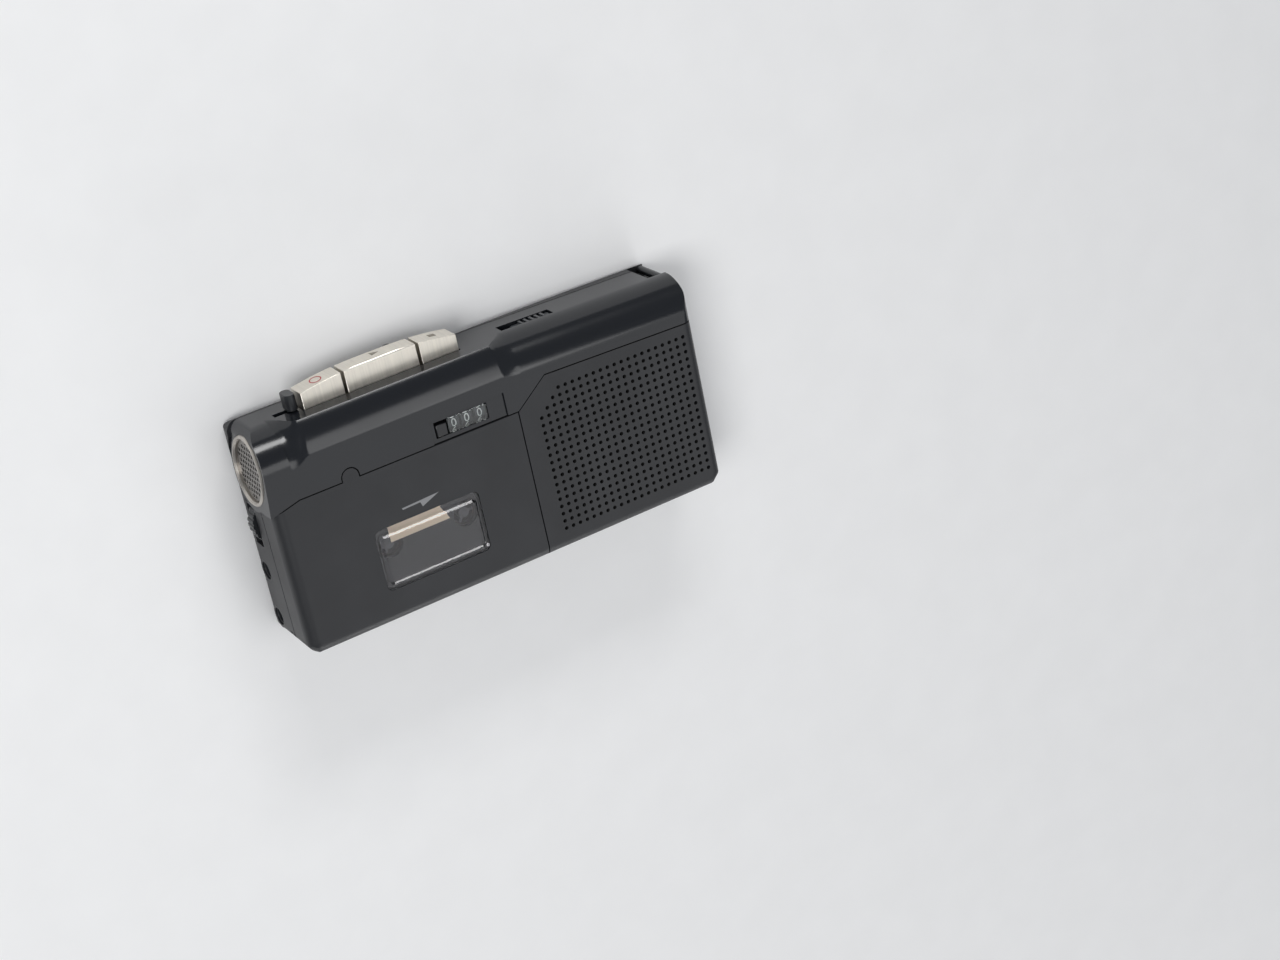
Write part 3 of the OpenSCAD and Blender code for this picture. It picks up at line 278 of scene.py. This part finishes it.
def edge_group(name, share, wide):
    """A node group that readies a node's edges for rounding.

    It takes the file's own normals away, keeps edges crisp where faces turn sharply, and weighs them:
    those that wide(group, turn, place) picks in full, and the other sharp ones by their share.
    """
    group = bpy.data.node_groups.new(name, "GeometryNodeTree")
    group.interface.new_socket("Geometry", in_out="INPUT", socket_type="NodeSocketGeometry")
    group.interface.new_socket("Geometry", in_out="OUTPUT", socket_type="NodeSocketGeometry")
    entry = add(group, "NodeGroupInput").outputs[0]
    bare = add(group, "GeometryNodeRemoveAttribute", {"Geometry": entry, "Name": "custom_normal"}).outputs[0]
    turn = add(group, "GeometryNodeInputMeshEdgeAngle").outputs[0]
    sharp = add(group, "FunctionNodeCompare", {0: turn, 1: CRISP_TURN}, operation="GREATER_THAN").outputs[0]
    smooth = add(group, "GeometryNodeSetShadeSmooth", {0: bare, 2: True}, domain="FACE").outputs[0]
    crisp = add(group, "GeometryNodeSetShadeSmooth", {0: smooth, 1: sharp, 2: False}, domain="EDGE")
    edged = add(group, "FunctionNodeCompare", {0: turn, 1: ROUND_TURN}, operation="GREATER_THAN").outputs[0]
    weight = add(group, "ShaderNodeMath", {0: edged, 1: share}, operation="MULTIPLY").outputs[0]
    if wide:
        place = add(group, "GeometryNodeInputPosition").outputs[0]
        place = add(group, "ShaderNodeSeparateXYZ", {0: place}).outputs
        picked = wide(group, turn, place)
        weight = add(group, "ShaderNodeMath", {0: weight, 1: picked}, operation="MAXIMUM").outputs[0]
    weighed = add(group, "GeometryNodeStoreNamedAttribute",
                  {"Geometry": crisp.outputs[0], "Name": "bevel_weight_edge", "Value": weight}, domain="EDGE")
    add(group, "NodeGroupOutput", {0: weighed.outputs[0]})
    return group


def keep_flats(piece):
    """Lets a piece's large faces set the shading, so that they look flat right up to their edges."""
    even = piece.modifiers.new("Even", "WEIGHTED_NORMAL")
    even.mode = "FACE_AREA"
    even.keep_sharp = True


def dress(nodes, material, edge_mm=0.0, wide_mm=0.0, wide=None):
    """Gives frame nodes their finish, and rounds their edges the way a moulding or casting has them.

    edge_mm rounds every sharp edge, and wide_mm the edges that wide picks.
    """
    round_mm = max(edge_mm, wide_mm)
    group = edge_group(f"edges of {nodes[0]}", edge_mm / round_mm if round_mm else 0.0, wide)
    for node in nodes:
        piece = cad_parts[node]
        piece.data.materials.clear()
        piece.data.materials.append(material)
        weld = piece.modifiers.new("Seams", "WELD")
        weld.merge_threshold = SEAM_GAP
        if edge_mm:
            flat = piece.modifiers.new("Flats", "DECIMATE")
            flat.decimate_type = "DISSOLVE"
            flat.angle_limit = FLAT_TURN
        crisp = piece.modifiers.new("Crisp", "NODES")
        crisp.node_group = group
        if round_mm:
            bevel = piece.modifiers.new("Edges", "BEVEL")
            bevel.width = round_mm * MM
            bevel.segments = 3 if wide else 2
            bevel.limit_method = "WEIGHT"
        keep_flats(piece)


def case_corners(group, turn, place):
    """Picks the slanted edges at the two lower corners of the case, which hands meet first."""
    low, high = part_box("rear_cabinet")
    one = add(group, "FunctionNodeCompare", {0: place[0], 1: low.x + CORNER_REACH}, operation="LESS_THAN")
    other = add(group, "FunctionNodeCompare", {0: place[0], 1: high.x - CORNER_REACH},
                operation="GREATER_THAN")
    ends = add(group, "FunctionNodeBooleanMath", {0: one.outputs[0], 1: other.outputs[0]}, operation="OR")
    lower = add(group, "FunctionNodeCompare", {0: place[1], 1: low.y + CORNER_REACH}, operation="LESS_THAN")
    slant = add(group, "FunctionNodeCompare", {0: turn, 1: CORNER_TURN, 12: CORNER_SPREAD}, operation="EQUAL")
    corner = add(group, "FunctionNodeBooleanMath", {0: ends.outputs[0], 1: lower.outputs[0]}, operation="AND")
    picked = add(group, "FunctionNodeBooleanMath", {0: corner.outputs[0], 1: slant.outputs[0]},
                 operation="AND")
    return picked.outputs[0]


def barrel_rim(group, turn, place):
    """Picks the rim of the barrel's open end, round the microphone."""
    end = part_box("upper_cabinet")[0].x + RIM_DEPTH
    ring_low, ring_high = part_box("mic_ring")
    axis = (ring_low + ring_high) / 2
    outside = (ring_high.z - ring_low.z) / 2 + RIM_CLEAR
    up = add(group, "ShaderNodeMath", {0: place[1], 1: axis.y}, operation="SUBTRACT").outputs[0]
    out = add(group, "ShaderNodeMath", {0: place[2], 1: axis.z}, operation="SUBTRACT").outputs[0]
    up = add(group, "ShaderNodeMath", {0: up, 1: 2.0}, operation="POWER").outputs[0]
    out = add(group, "ShaderNodeMath", {0: out, 1: 2.0}, operation="POWER").outputs[0]
    square = add(group, "ShaderNodeMath", {0: up, 1: out}, operation="ADD").outputs[0]
    rim = add(group, "FunctionNodeCompare", {0: square, 1: outside ** 2}, operation="GREATER_THAN").outputs[0]
    face = add(group, "FunctionNodeCompare", {0: place[0], 1: end}, operation="LESS_THAN").outputs[0]
    sharp = add(group, "FunctionNodeCompare", {0: turn, 1: RIM_TURN}, operation="GREATER_THAN").outputs[0]
    rim = add(group, "FunctionNodeBooleanMath", {0: rim, 1: face}, operation="AND").outputs[0]
    return add(group, "FunctionNodeBooleanMath", {0: rim, 1: sharp}, operation="AND").outputs[0]


def new_piece(name, mesh, material, body):
    """A piece of its own that rides on a body and takes the given finish."""
    mesh.materials.append(material)
    piece = bpy.data.objects.new(name, mesh)
    bpy.context.scene.collection.objects.link(piece)
    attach(piece, body)
    return piece


def finished(name, shape):
    """Turns a shape under construction into a mesh."""
    mesh = bpy.data.meshes.new(name)
    shape.to_mesh(mesh)
    shape.free()
    return mesh


def mark_mesh(name, outline, to_place):
    """A flat mark with a closed outline in mm, carried to its surface by to_place(u, v, w)."""
    shape = bmesh.new()
    shape.faces.new([shape.verts.new((u * MM, v * MM, 0.0)) for u, v in outline])
    raised = bmesh.ops.extrude_face_region(shape, geom=shape.faces[:])
    top = [v for v in raised["geom"] if isinstance(v, bmesh.types.BMVert)]
    bmesh.ops.translate(shape, verts=top, vec=(0, 0, MARK_HEIGHT))
    bmesh.ops.recalc_face_normals(shape, faces=shape.faces[:])
    for v in shape.verts:
        v.co = to_place(*v.co)
    return finished(name, shape)


def key_top(x):
    """Height along Y of the arch that the three key tops share, from the tops of the keys themselves."""
    centre = (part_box("rec_key")[0].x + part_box("stop_key")[1].x) / 2
    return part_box("play_key")[1].y - KEY_ARCH + math.sqrt(KEY_ARCH ** 2 - (x - centre) ** 2)


def on_key(key):
    """Carries a mark drawn round the origin to the top of a key."""
    low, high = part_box(key)
    where = (low + high) / 2
    return lambda u, v, w: (where.x + u, key_top(where.x + u) + INK + w, where.z + v)


def key_ring(name, key):
    """An oval ring on top of a key."""
    place = on_key(key)
    shape = bmesh.new()
    rows = []
    for i in range(RING_STEPS):
        a = 2 * math.pi * i / RING_STEPS
        row = []
        for inset, lift in ((0, 0), (0, RING_HEIGHT), (RING_LINE, RING_HEIGHT), (RING_LINE, 0)):
            u, v = (RING_HALF_U - inset) * math.cos(a), (RING_HALF_V - inset) * math.sin(a)
            row.append(shape.verts.new(place(u, v, lift)))
        rows.append(row)
    for a, b in zip(rows, rows[1:] + rows[:1]):
        for j in range(4):
            shape.faces.new((a[j], b[j], b[(j + 1) % 4], a[(j + 1) % 4]))
    bmesh.ops.recalc_face_normals(shape, faces=shape.faces[:])
    return finished(name, shape)


def figure_mesh(figure):
    """One figure, flat and slightly thick, with cuts across it that let it bend."""
    curve = bpy.data.curves.new("figure", "FONT")
    curve.body = str(figure)
    curve.size = FIGURE_SIZE
    curve.align_x, curve.align_y = "CENTER", "CENTER"
    curve.resolution_u = 6
    curve.extrude = INK / 2
    holder = bpy.data.objects.new("figure", curve)
    mesh = bpy.data.meshes.new_from_object(holder)
    shape = bmesh.new()
    shape.from_mesh(mesh)
    bpy.data.objects.remove(holder)
    bpy.data.curves.remove(curve)
    bpy.data.meshes.remove(mesh)
    bmesh.ops.remove_doubles(shape, verts=shape.verts[:], dist=FIGURE_GAP)
    heights = [v.co.y for v in shape.verts]
    middle = (max(heights) + min(heights)) / 2
    for i in range(-FIGURE_CUTS, FIGURE_CUTS + 1):
        parts = shape.verts[:] + shape.edges[:] + shape.faces[:]
        at = (0, middle + i * FIGURE_STEP, 0)
        bmesh.ops.bisect_plane(shape, geom=parts, plane_co=at, plane_no=(0, 1, 0))
    return shape, middle


def wheel_numbers(name, wheel):
    """The ten figures round a number wheel, read with the key side below."""
    low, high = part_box(wheel)
    axis = (low + high) / 2
    radius = (high.z - low.z) / 2 + INK
    band = bmesh.new()
    for figure in range(FIGURES):
        shape, middle = figure_mesh(figure)
        for v in shape.verts:
            turn = (v.co.y - middle) / radius - 2 * math.pi * figure / FIGURES
            out = radius + v.co.z
            v.co = (axis.x - v.co.x, axis.y - out * math.sin(turn), axis.z + out * math.cos(turn))
        mesh = finished("figure", shape)
        band.from_mesh(mesh)
        bpy.data.meshes.remove(mesh)
    return finished(name, band)


def rounded_loop(left, right, lower, upper, radius):
    """Points round a rectangle with rounded corners."""
    corners = ((right - radius, upper - radius), (left + radius, upper - radius),
               (left + radius, lower + radius), (right - radius, lower + radius))
    points = []
    for quarter, (x, y) in enumerate(corners):
        for i in range(LENS_CORNER_STEPS + 1):
            a = math.pi / 2 * (quarter + i / LENS_CORNER_STEPS)
            points.append((x + radius * math.cos(a), y + radius * math.sin(a)))
    return points


def lens_mesh(name):
    """The door's lens in its node's place: a shelf just under the door's face round a raised middle."""
    low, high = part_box("door_window")
    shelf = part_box("cassette_door")[1].z - SHELF_DEPTH
    # Height, then in mm what the outline draws in at its ends, lower side and upper side, and the radius
    # of its corners
    levels = (
        (low.z, 0.0, 0.0, 0.0, 1.5),
        (shelf - 0.1 * MM, 0.0, 0.0, 0.0, 1.5),
        (shelf, 0.1, 0.1, 0.1, 1.4),
        (shelf, 0.9, 1.2, 1.8, 1.0),
        (shelf + 0.2 * MM, 1.1, 1.34, 2.0, 0.9),
        (high.z - 0.04 * MM, 1.36, 1.9, 2.26, 0.8),
        (high.z, 1.5, 2.05, 2.4, 0.7),
    )
    shape = bmesh.new()
    loops = []
    for z, ends, lower, upper, radius in levels:
        loop = rounded_loop(low.x + ends * MM, high.x - ends * MM, low.y + lower * MM, high.y - upper * MM,
                            radius * MM)
        loops.append([shape.verts.new((x, y, z)) for x, y in loop])
    for a, b in zip(loops, loops[1:]):
        for i in range(len(a)):
            j = (i + 1) % len(a)
            shape.faces.new((a[i], a[j], b[j], b[i]))
    shape.faces.new(list(reversed(loops[0])))
    shape.faces.new(loops[-1])
    bmesh.ops.recalc_face_normals(shape, faces=shape.faces[:])
    mesh = finished(name, shape)
    mesh.shade_smooth()
    mesh.set_sharp_from_angle(angle=LENS_CRISP)
    return mesh


class CaseLook(bpy.types.PropertyGroup):
    """Colours and edges of the mouldings and the metal."""
    front: bpy.props.FloatVectorProperty(
        name="Front", description="Textured mouldings: door, speaker panel and back", subtype="COLOR", size=4,
        min=0, max=1, default=linear("#1f2023"))
    upper: bpy.props.FloatVectorProperty(
        name="Upper", description="Smoother moulding under the keys", subtype="COLOR", size=4, min=0, max=1,
        default=linear("#1a1c20"))
    keys: bpy.props.FloatVectorProperty(
        name="Keys", description="Champagne metal of the keys", subtype="COLOR", size=4, min=0, max=1,
        default=linear("#f6f0e4"))
    edge: bpy.props.FloatProperty(
        name="Edge", description="Rounding of the mouldings' edges", subtype="DISTANCE", unit="LENGTH",
        default=0.18 * MM)


class StudioLook(bpy.types.PropertyGroup):
    """Floor, lights and camera."""
    floor: bpy.props.FloatVectorProperty(
        name="Floor", description="Pale studio floor", subtype="COLOR", size=4, min=0, max=1,
        default=linear("#f2f2f2"))
    softbox: bpy.props.FloatProperty(
        name="Softbox", description="Radiance of the soft key light", default=10.0)
    lens: bpy.props.FloatProperty(
        name="Lens", description="Focal length of the camera", subtype="DISTANCE_CAMERA", default=70.7)


class RECORDER_OT_case(bpy.types.Operator):
    """Finishes the cabinets, the door and the battery lid"""
    bl_idname = "recorder.case"
    bl_label = "Case"

    def execute(self, context):
        look = context.scene.recorder_case
        edge = look.edge / MM
        # Spark-eroded ABS: an even grain that turns the front a soft dark grey under a broad light
        eroded = {"colour": tuple(look.front), "roughness": (0.46, 0.4), "grain_mm": 0.5, "grain": 0.35,
                  "lighter": 1.25, "rubbed_mm": 0.5}
        textured = moulded_plastic("ABS, spark-eroded black", **eroded)
        # Smoother ABS: the same black with a satin gloss, so the hump shows long clean reflections
        satin = moulded_plastic("ABS, satin black", tuple(look.upper), (0.17, 0.13), grain_mm=0.8, grain=0.04,
                                rubbed_mm=0.4)
        # The speaker panel is moulded like the door; painted shade turns its holes black
        panel = moulded_plastic("ABS, spark-eroded black, drilled", **eroded)
        darken_holes(panel, "speaker_panel", rim_mm=3.6)
        dress(["speaker_panel"], panel, wide_mm=CORNER_ROUND_MM, wide=case_corners)
        dress(["cassette_door", "rear_cabinet"], textured, edge, CORNER_ROUND_MM, case_corners)
        dress(["battery_lid"], textured, edge)
        dress(["upper_cabinet"], satin, edge_mm=0.22, wide_mm=RIM_ROUND_MM, wide=barrel_rim)
        return {"FINISHED"}


class RECORDER_OT_keys(bpy.types.Operator):
    """Finishes the three keys and prints their marks"""
    bl_idname = "recorder.keys"
    bl_label = "Keys"

    def execute(self, context):
        look = context.scene.recorder_case
        # Plated and belt-brushed metal: warm champagne with fine lines across the key
        metal = brushed_metal("Champagne nickel, brushed", tuple(look.keys), (0.28, 0.42), line_mm=0.5,
                              along=(1.0, 0.03, 0.03), strength=0.4, darker=0.72)
        dress(["rec_key", "play_key", "stop_key"], metal, edge_mm=0.25)
        # Enamel filled into the ring on the record key: a clear red line
        red = printed_ink("Enamel, red", linear("#b5202a"))
        # Warm grey ink: the marks read as darker lines in the metal
        dark = printed_ink("Ink, warm grey", linear("#8d8678"))
        new_piece("record_ring", key_ring("record_ring", "rec_key"), red, "rec_key")
        play = mark_mesh("play_mark", PLAY_OUTLINE, on_key("play_key"))
        new_piece("play_mark", play, dark, "play_key")
        stop = mark_mesh("stop_mark", STOP_OUTLINE, on_key("stop_key"))
        new_piece("stop_mark", stop, dark, "stop_key")
        return {"FINISHED"}


class RECORDER_OT_microphone(bpy.types.Operator):
    """Finishes the microphone's ring, grille and capsule"""
    bl_idname = "recorder.microphone"
    bl_label = "Microphone"

    def execute(self, context):
        # Etched and not brushed, so the specks run no one way
        etched = {"line_mm": 0.4, "along": (1, 1, 1), "strength": 0.1}
        # Satin anodised aluminium: pale, with a soft even gleam round the ring
        ring = brushed_metal("Aluminium, satin anodised", linear("#cac4bc"), (0.28, 0.4), **etched)
        # Punched sheet: duller than the ring, with dark holes
        sheet = brushed_metal("Aluminium, punched sheet", linear("#989592"), (0.4, 0.5), **etched)
        # Drawn can: plain grey metal, glimpsed behind the holes
        can = brushed_metal("Aluminium, drawn can", linear("#8d8d8c"), (0.35, 0.45), **etched)
        dress(["mic_ring"], ring)
        dress(["mic_grille"], sheet)
        dress(["mic_capsule"], can)
        return {"FINISHED"}


class RECORDER_OT_counter(bpy.types.Operator):
    """Finishes the tape counter and prints the numbers on its wheels"""
    bl_idname = "recorder.counter"
    bl_label = "Counter"

    def execute(self, context):
        # Acetal: plain black and slightly waxy, so the white numbers stand out
        acetal = moulded_plastic("Acetal, black", linear("#141416"), (0.35, 0.45), grain_mm=0.6, grain=0.1)
        # Moulded polystyrene: a plain mid grey behind the wheels
        grey = moulded_plastic("Polystyrene, grey", linear("#6b6d70"), (0.4, 0.5))
        # Pad-printed white: bright and matt
        white = printed_ink("Ink, white", linear("#eeeeea"))
        # Drawn steel: a bright thin line through the wheels
        steel = brushed_metal("Steel, drawn", linear("#b9bab8"), (0.2, 0.3))
        # Moulded acrylic: almost clear, with a sharp highlight along its edges
        acrylic = clear_acrylic("Acrylic, counter lens", linear("#eef3f4"), scratched=0.01)
        # Polished ABS: black with a small soft highlight
        gloss = moulded_plastic("ABS, gloss black", linear("#1d1e20"), (0.25, 0.32))
        wheels = ["number_wheel_units", "number_wheel_tens", "number_wheel_hundreds"]
        dress(wheels, acetal)
        dress(["counter_frame"], grey, edge_mm=0.1)
        dress(["counter_shaft"], steel)
        dress(["counter_window"], acrylic, edge_mm=0.2)
        dress(["reset_button"], gloss, edge_mm=0.15)
        for wheel in wheels:
            name = wheel + "_numbers"
            new_piece(name, wheel_numbers(name, wheel), white, wheel)
        return {"FINISHED"}


class RECORDER_OT_cassette(bpy.types.Operator):
    """Finishes the door's window, its printed arrow and the cassette behind it"""
    bl_idname = "recorder.cassette"
    bl_label = "Cassette and window"

    def execute(self, context):
        # Moulded acrylic: clear, with slanted walls that flash white where they face the light
        acrylic = clear_acrylic("Acrylic, door window", linear("#f1f0f4"), scratched=0.008)
        lens = new_piece("window_lens", lens_mesh("window_lens"), acrylic, "door")
        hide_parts("door_window")
        keep_flats(lens)
        # Smoke polystyrene: very dark, with a dull sheen behind the window
        smoke = moulded_plastic("Polystyrene, smoke", linear("#121314"), (0.45, 0.55), grain_mm=0.9,
                                grain=0.05)
        dress(["cassette_shell"], smoke, edge_mm=0.15)
        # Uncoated label paper: warm cream, with a soft fibre
        paper = moulded_plastic("Paper, cream label", linear("#f8e6c6"), (0.7, 0.85), grain_mm=0.3, grain=0.2,
                                ior=1.45, lighter=1.06)
        dress(["cassette_label"], paper)
        # Oxide tape wound edge-on: brown with a low sheen
        tape = moulded_plastic("Oxide tape, wound", linear("#261b15"), (0.3, 0.45), grain_mm=0.25, grain=0.2)
        dress(["take_up_hub", "supply_hub"], tape)
        # Pad-printed grey: quiet against the black door
        grey = printed_ink("Ink, mid grey", linear("#8b8c8e"))
        low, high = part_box("door_window")
        x, y, z = (low.x + high.x) / 2, high.y + ARROW_RISE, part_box("cassette_door")[1].z + INK
        arrow = mark_mesh("door_arrow", ARROW_OUTLINE, lambda u, v, w: (x + u, y + v, z + w))
        new_piece("door_arrow", arrow, grey, "door")
        return {"FINISHED"}


class RECORDER_OT_controls(bpy.types.Operator):
    """Finishes the knobs, the slide switch, the thumbwheel and the sockets"""
    bl_idname = "recorder.controls"
    bl_label = "Knobs and sockets"

    def execute(self, context):
        # Gloss ABS: black knobs with small sharp highlights
        gloss = moulded_plastic("ABS, knob black", linear("#1f2124"), (0.25, 0.35), grain_mm=0.7, grain=0.08)
        edges = {"pause_knob": 0.8, "cue_knob": 0.3, "strap_bar": 0.1, "volume_wheel": 0.12}
        for node, edge_mm in edges.items():
            dress([node], gloss, edge_mm)
        # Dark grey ABS: a step lighter than the case, so that the switch shows in its slot
        grey = moulded_plastic("ABS, switch grey", linear("#3c3e41"), (0.3, 0.4), grain_mm=0.6, grain=0.1)
        dress(["switch_knob"], grey, edge_mm=0.15)
        # Pressed phenolic: a dull warm brown
        phenolic = moulded_plastic("Phenolic, brown", linear("#4b3a2c"), (0.4, 0.5))
        dress(["switch_body", "volume_pot"], phenolic, edge_mm=0.15)
        # Moulded polyamide: black with a soft sheen round each socket
        polyamide = moulded_plastic("Polyamide, socket black", linear("#26272a"), (0.3, 0.4))
        dress(["earphone_jack", "microphone_jack"], polyamide, edge_mm=0.15)
        return {"FINISHED"}


class RECORDER_OT_drive(bpy.types.Operator):
    """Finishes the deck plate, motor, belt, flywheel, spindles, heads and key spring"""
    bl_idname = "recorder.drive"
    bl_label = "Tape drive"

    def execute(self, context):
        even = (1, 1, 1)
        # Zinc-plated sheet steel: pale grey, with a soft spangle
        zinc = brushed_metal("Steel, zinc plated", linear("#b4b6b5"), (0.32, 0.45), line_mm=1.2, along=even,
                             strength=0.1)
        # Turned brass: yellow, with a fine sparkle
        brass = brushed_metal("Brass, turned", linear("#c9a760"), (0.22, 0.32), along=even, strength=0.15)
        # Vulcanised rubber: dead black and matt
        rubber = moulded_plastic("Neoprene, ground", linear("#1b1b1c"), (0.65, 0.8), grain_mm=0.2, grain=0.3)
        # Permalloy: polished where the tape runs over it
        core = brushed_metal("Permalloy, lapped", linear("#d0cfca"), (0.12, 0.2), along=even, strength=0.05)
        # Cast epoxy: a dark casing with a soft gloss
        epoxy = moulded_plastic("Epoxy, head casing", linear("#2c2c2e"), (0.3, 0.4))
        # Acetal: dark grey and slightly waxy
        acetal = moulded_plastic("Acetal, dark grey", linear("#333436"), (0.3, 0.4), grain_mm=0.6, grain=0.1)
        dress(["chassis_plate", "motor", "head_slide", "key_spring_plate"], zinc, edge_mm=0.12)
        dress(["door_hinge_pin", "pinch_pin", "chassis_screws", "cabinet_screws"], zinc, edge_mm=0.08)
        dress(["motor_pulley", "flywheel", "capstan_bearing"], brass, edge_mm=0.1)
        dress(["drive_belt", "pinch_roller"], rubber)
        dress(["record_head"], core, edge_mm=0.2)
        dress(["erase_head"], epoxy, edge_mm=0.2)
        dress(["take_up_spindle", "supply_spindle"], acetal, edge_mm=0.12)
        return {"FINISHED"}


class RECORDER_OT_inside(bpy.types.Operator):
    """Finishes the speaker, circuit board, cells and contacts"""
    bl_idname = "recorder.inside"
    bl_label = "Speaker, board and cells"

    def execute(self, context):
        # Pressed cone paper: black and fibrous, seen through the speaker holes
        cone = moulded_plastic("Paper, speaker cone", linear("#161617"), (0.8, 0.9), grain_mm=0.4, grain=0.5)
        dress(["speaker_cone"], cone)
        # Pressed steel: a dull grey basket
        basket = brushed_metal("Steel, pressed basket", linear("#7c7e80"), (0.4, 0.5))
        dress(["speaker_basket"], basket, edge_mm=0.2)
        # Solder mask over copper: green and glassy
        mask = moulded_plastic("Solder mask, green", linear("#1f5a37"), (0.2, 0.35), grain_mm=0.8, grain=0.2)
        dress(["circuit_board"], mask, edge_mm=0.1)
        # Plain foil round each cell: a metal sheen and no print; its dark colour is partly painted shade, so
        # that the strap slot that shows the cells reads dark
        foil = brushed_metal("Foil, dark cell wrap", linear("#3a3c40"), (0.3, 0.4), line_mm=0.5)
        dress(["battery_cells"], foil, edge_mm=0.25)
        # Nickelled spring steel: bright and clean
        nickel = brushed_metal("Spring steel, nickelled", linear("#cfcfca"), (0.2, 0.3))
        dress(["contact_springs", "contact_plates"], nickel)
        return {"FINISHED"}


def lay_floor(scene, colour):
    """Lays the pale floor that the machine lies on."""
    sheet = bpy.data.meshes.new("floor")
    corners = [(x * FLOOR_HALF, y * FLOOR_HALF, -FLOOR_DROP) for x, y in ((-1, -1), (1, -1), (1, 1), (-1, 1))]
    sheet.from_pydata(corners, [], [(0, 1, 2, 3)])
    # Painted board: pale, matt and even
    paint = moulded_plastic("Paint, matt white", colour, (0.75, 0.85), grain_mm=2.0, grain=0.02, ior=1.45,
                            lighter=1.02)
    sheet.materials.append(paint)
    floor = bpy.data.objects.new("floor", sheet)
    scene.collection.objects.link(floor)


def hang_lights(scene, softbox):
    """Lights the room evenly and hangs the softbox and the cards; softbox is its radiance."""
    room = bpy.data.worlds.new("studio")
    room.use_nodes = True
    air = room.node_tree.nodes["Background"]
    air.inputs["Color"].default_value = linear("#b4b8be")
    air.inputs["Strength"].default_value = ROOM_STRENGTH
    scene.world = room
    for name, (where, (width, height), share) in LIGHTS.items():
        lamp = bpy.data.lights.new(name, "AREA")
        lamp.shape = "RECTANGLE"
        lamp.size, lamp.size_y = width, height
        lamp.energy = softbox * share * math.pi * width * height
        holder = bpy.data.objects.new(name, lamp)
        holder.location = where
        holder.rotation_mode = "QUATERNION"
        holder.rotation_quaternion = (AIM - Vector(where)).to_track_quat("-Z", "Y")
        scene.collection.objects.link(holder)


def set_camera(scene, lens):
    """Sets the camera where the machine was seen from."""
    view = bpy.data.cameras.new("camera")
    view.lens = lens
    view.sensor_width = CAMERA_SENSOR_MM
    view.clip_start, view.clip_end = CAMERA_NEAR, CAMERA_FAR
    camera = bpy.data.objects.new("camera", view)
    turn = Matrix((CAMERA_RIGHT, CAMERA_UP, CAMERA_RIGHT.cross(CAMERA_UP))).transposed().to_4x4()
    camera.matrix_world = Matrix.Translation(CAMERA_PLACE) @ turn
    scene.collection.objects.link(camera)
    scene.camera = camera


class RECORDER_OT_studio(bpy.types.Operator):
    """Sets the pale floor, the soft light and the camera"""
    bl_idname = "recorder.studio"
    bl_label = "Studio"

    def execute(self, context):
        scene = context.scene
        look = scene.recorder_studio
        lay_floor(scene, tuple(look.floor))
        hang_lights(scene, look.softbox)
        set_camera(scene, look.lens)
        scene.view_settings.view_transform = "Standard"
        return {"FINISHED"}


STEPS = (RECORDER_OT_case, RECORDER_OT_keys, RECORDER_OT_microphone, RECORDER_OT_counter,
         RECORDER_OT_cassette, RECORDER_OT_controls, RECORDER_OT_drive, RECORDER_OT_inside,
         RECORDER_OT_studio)


class RECORDER_PT_panel(bpy.types.Panel):
    """Lists the steps that dress the machine"""
    bl_idname = "RECORDER_PT_panel"
    bl_label = "Dictation machine"
    bl_space_type = "VIEW_3D"
    bl_region_type = "UI"
    bl_category = "Recorder"

    def draw(self, context):
        for step in STEPS:
            self.layout.operator(step.bl_idname)


CLASSES = (CaseLook, StudioLook, *STEPS, RECORDER_PT_panel)


def register():
    for kind in CLASSES:
        bpy.utils.register_class(kind)
    bpy.types.Scene.recorder_case = bpy.props.PointerProperty(type=CaseLook)
    bpy.types.Scene.recorder_studio = bpy.props.PointerProperty(type=StudioLook)


def unregister():
    del bpy.types.Scene.recorder_studio
    del bpy.types.Scene.recorder_case
    for kind in reversed(CLASSES):
        bpy.utils.unregister_class(kind)


def main():
    register()
    for step in STEPS:
        group, name = step.bl_idname.split(".")
        getattr(getattr(bpy.ops, group), name)()


if __name__ == "__main__":
    main()
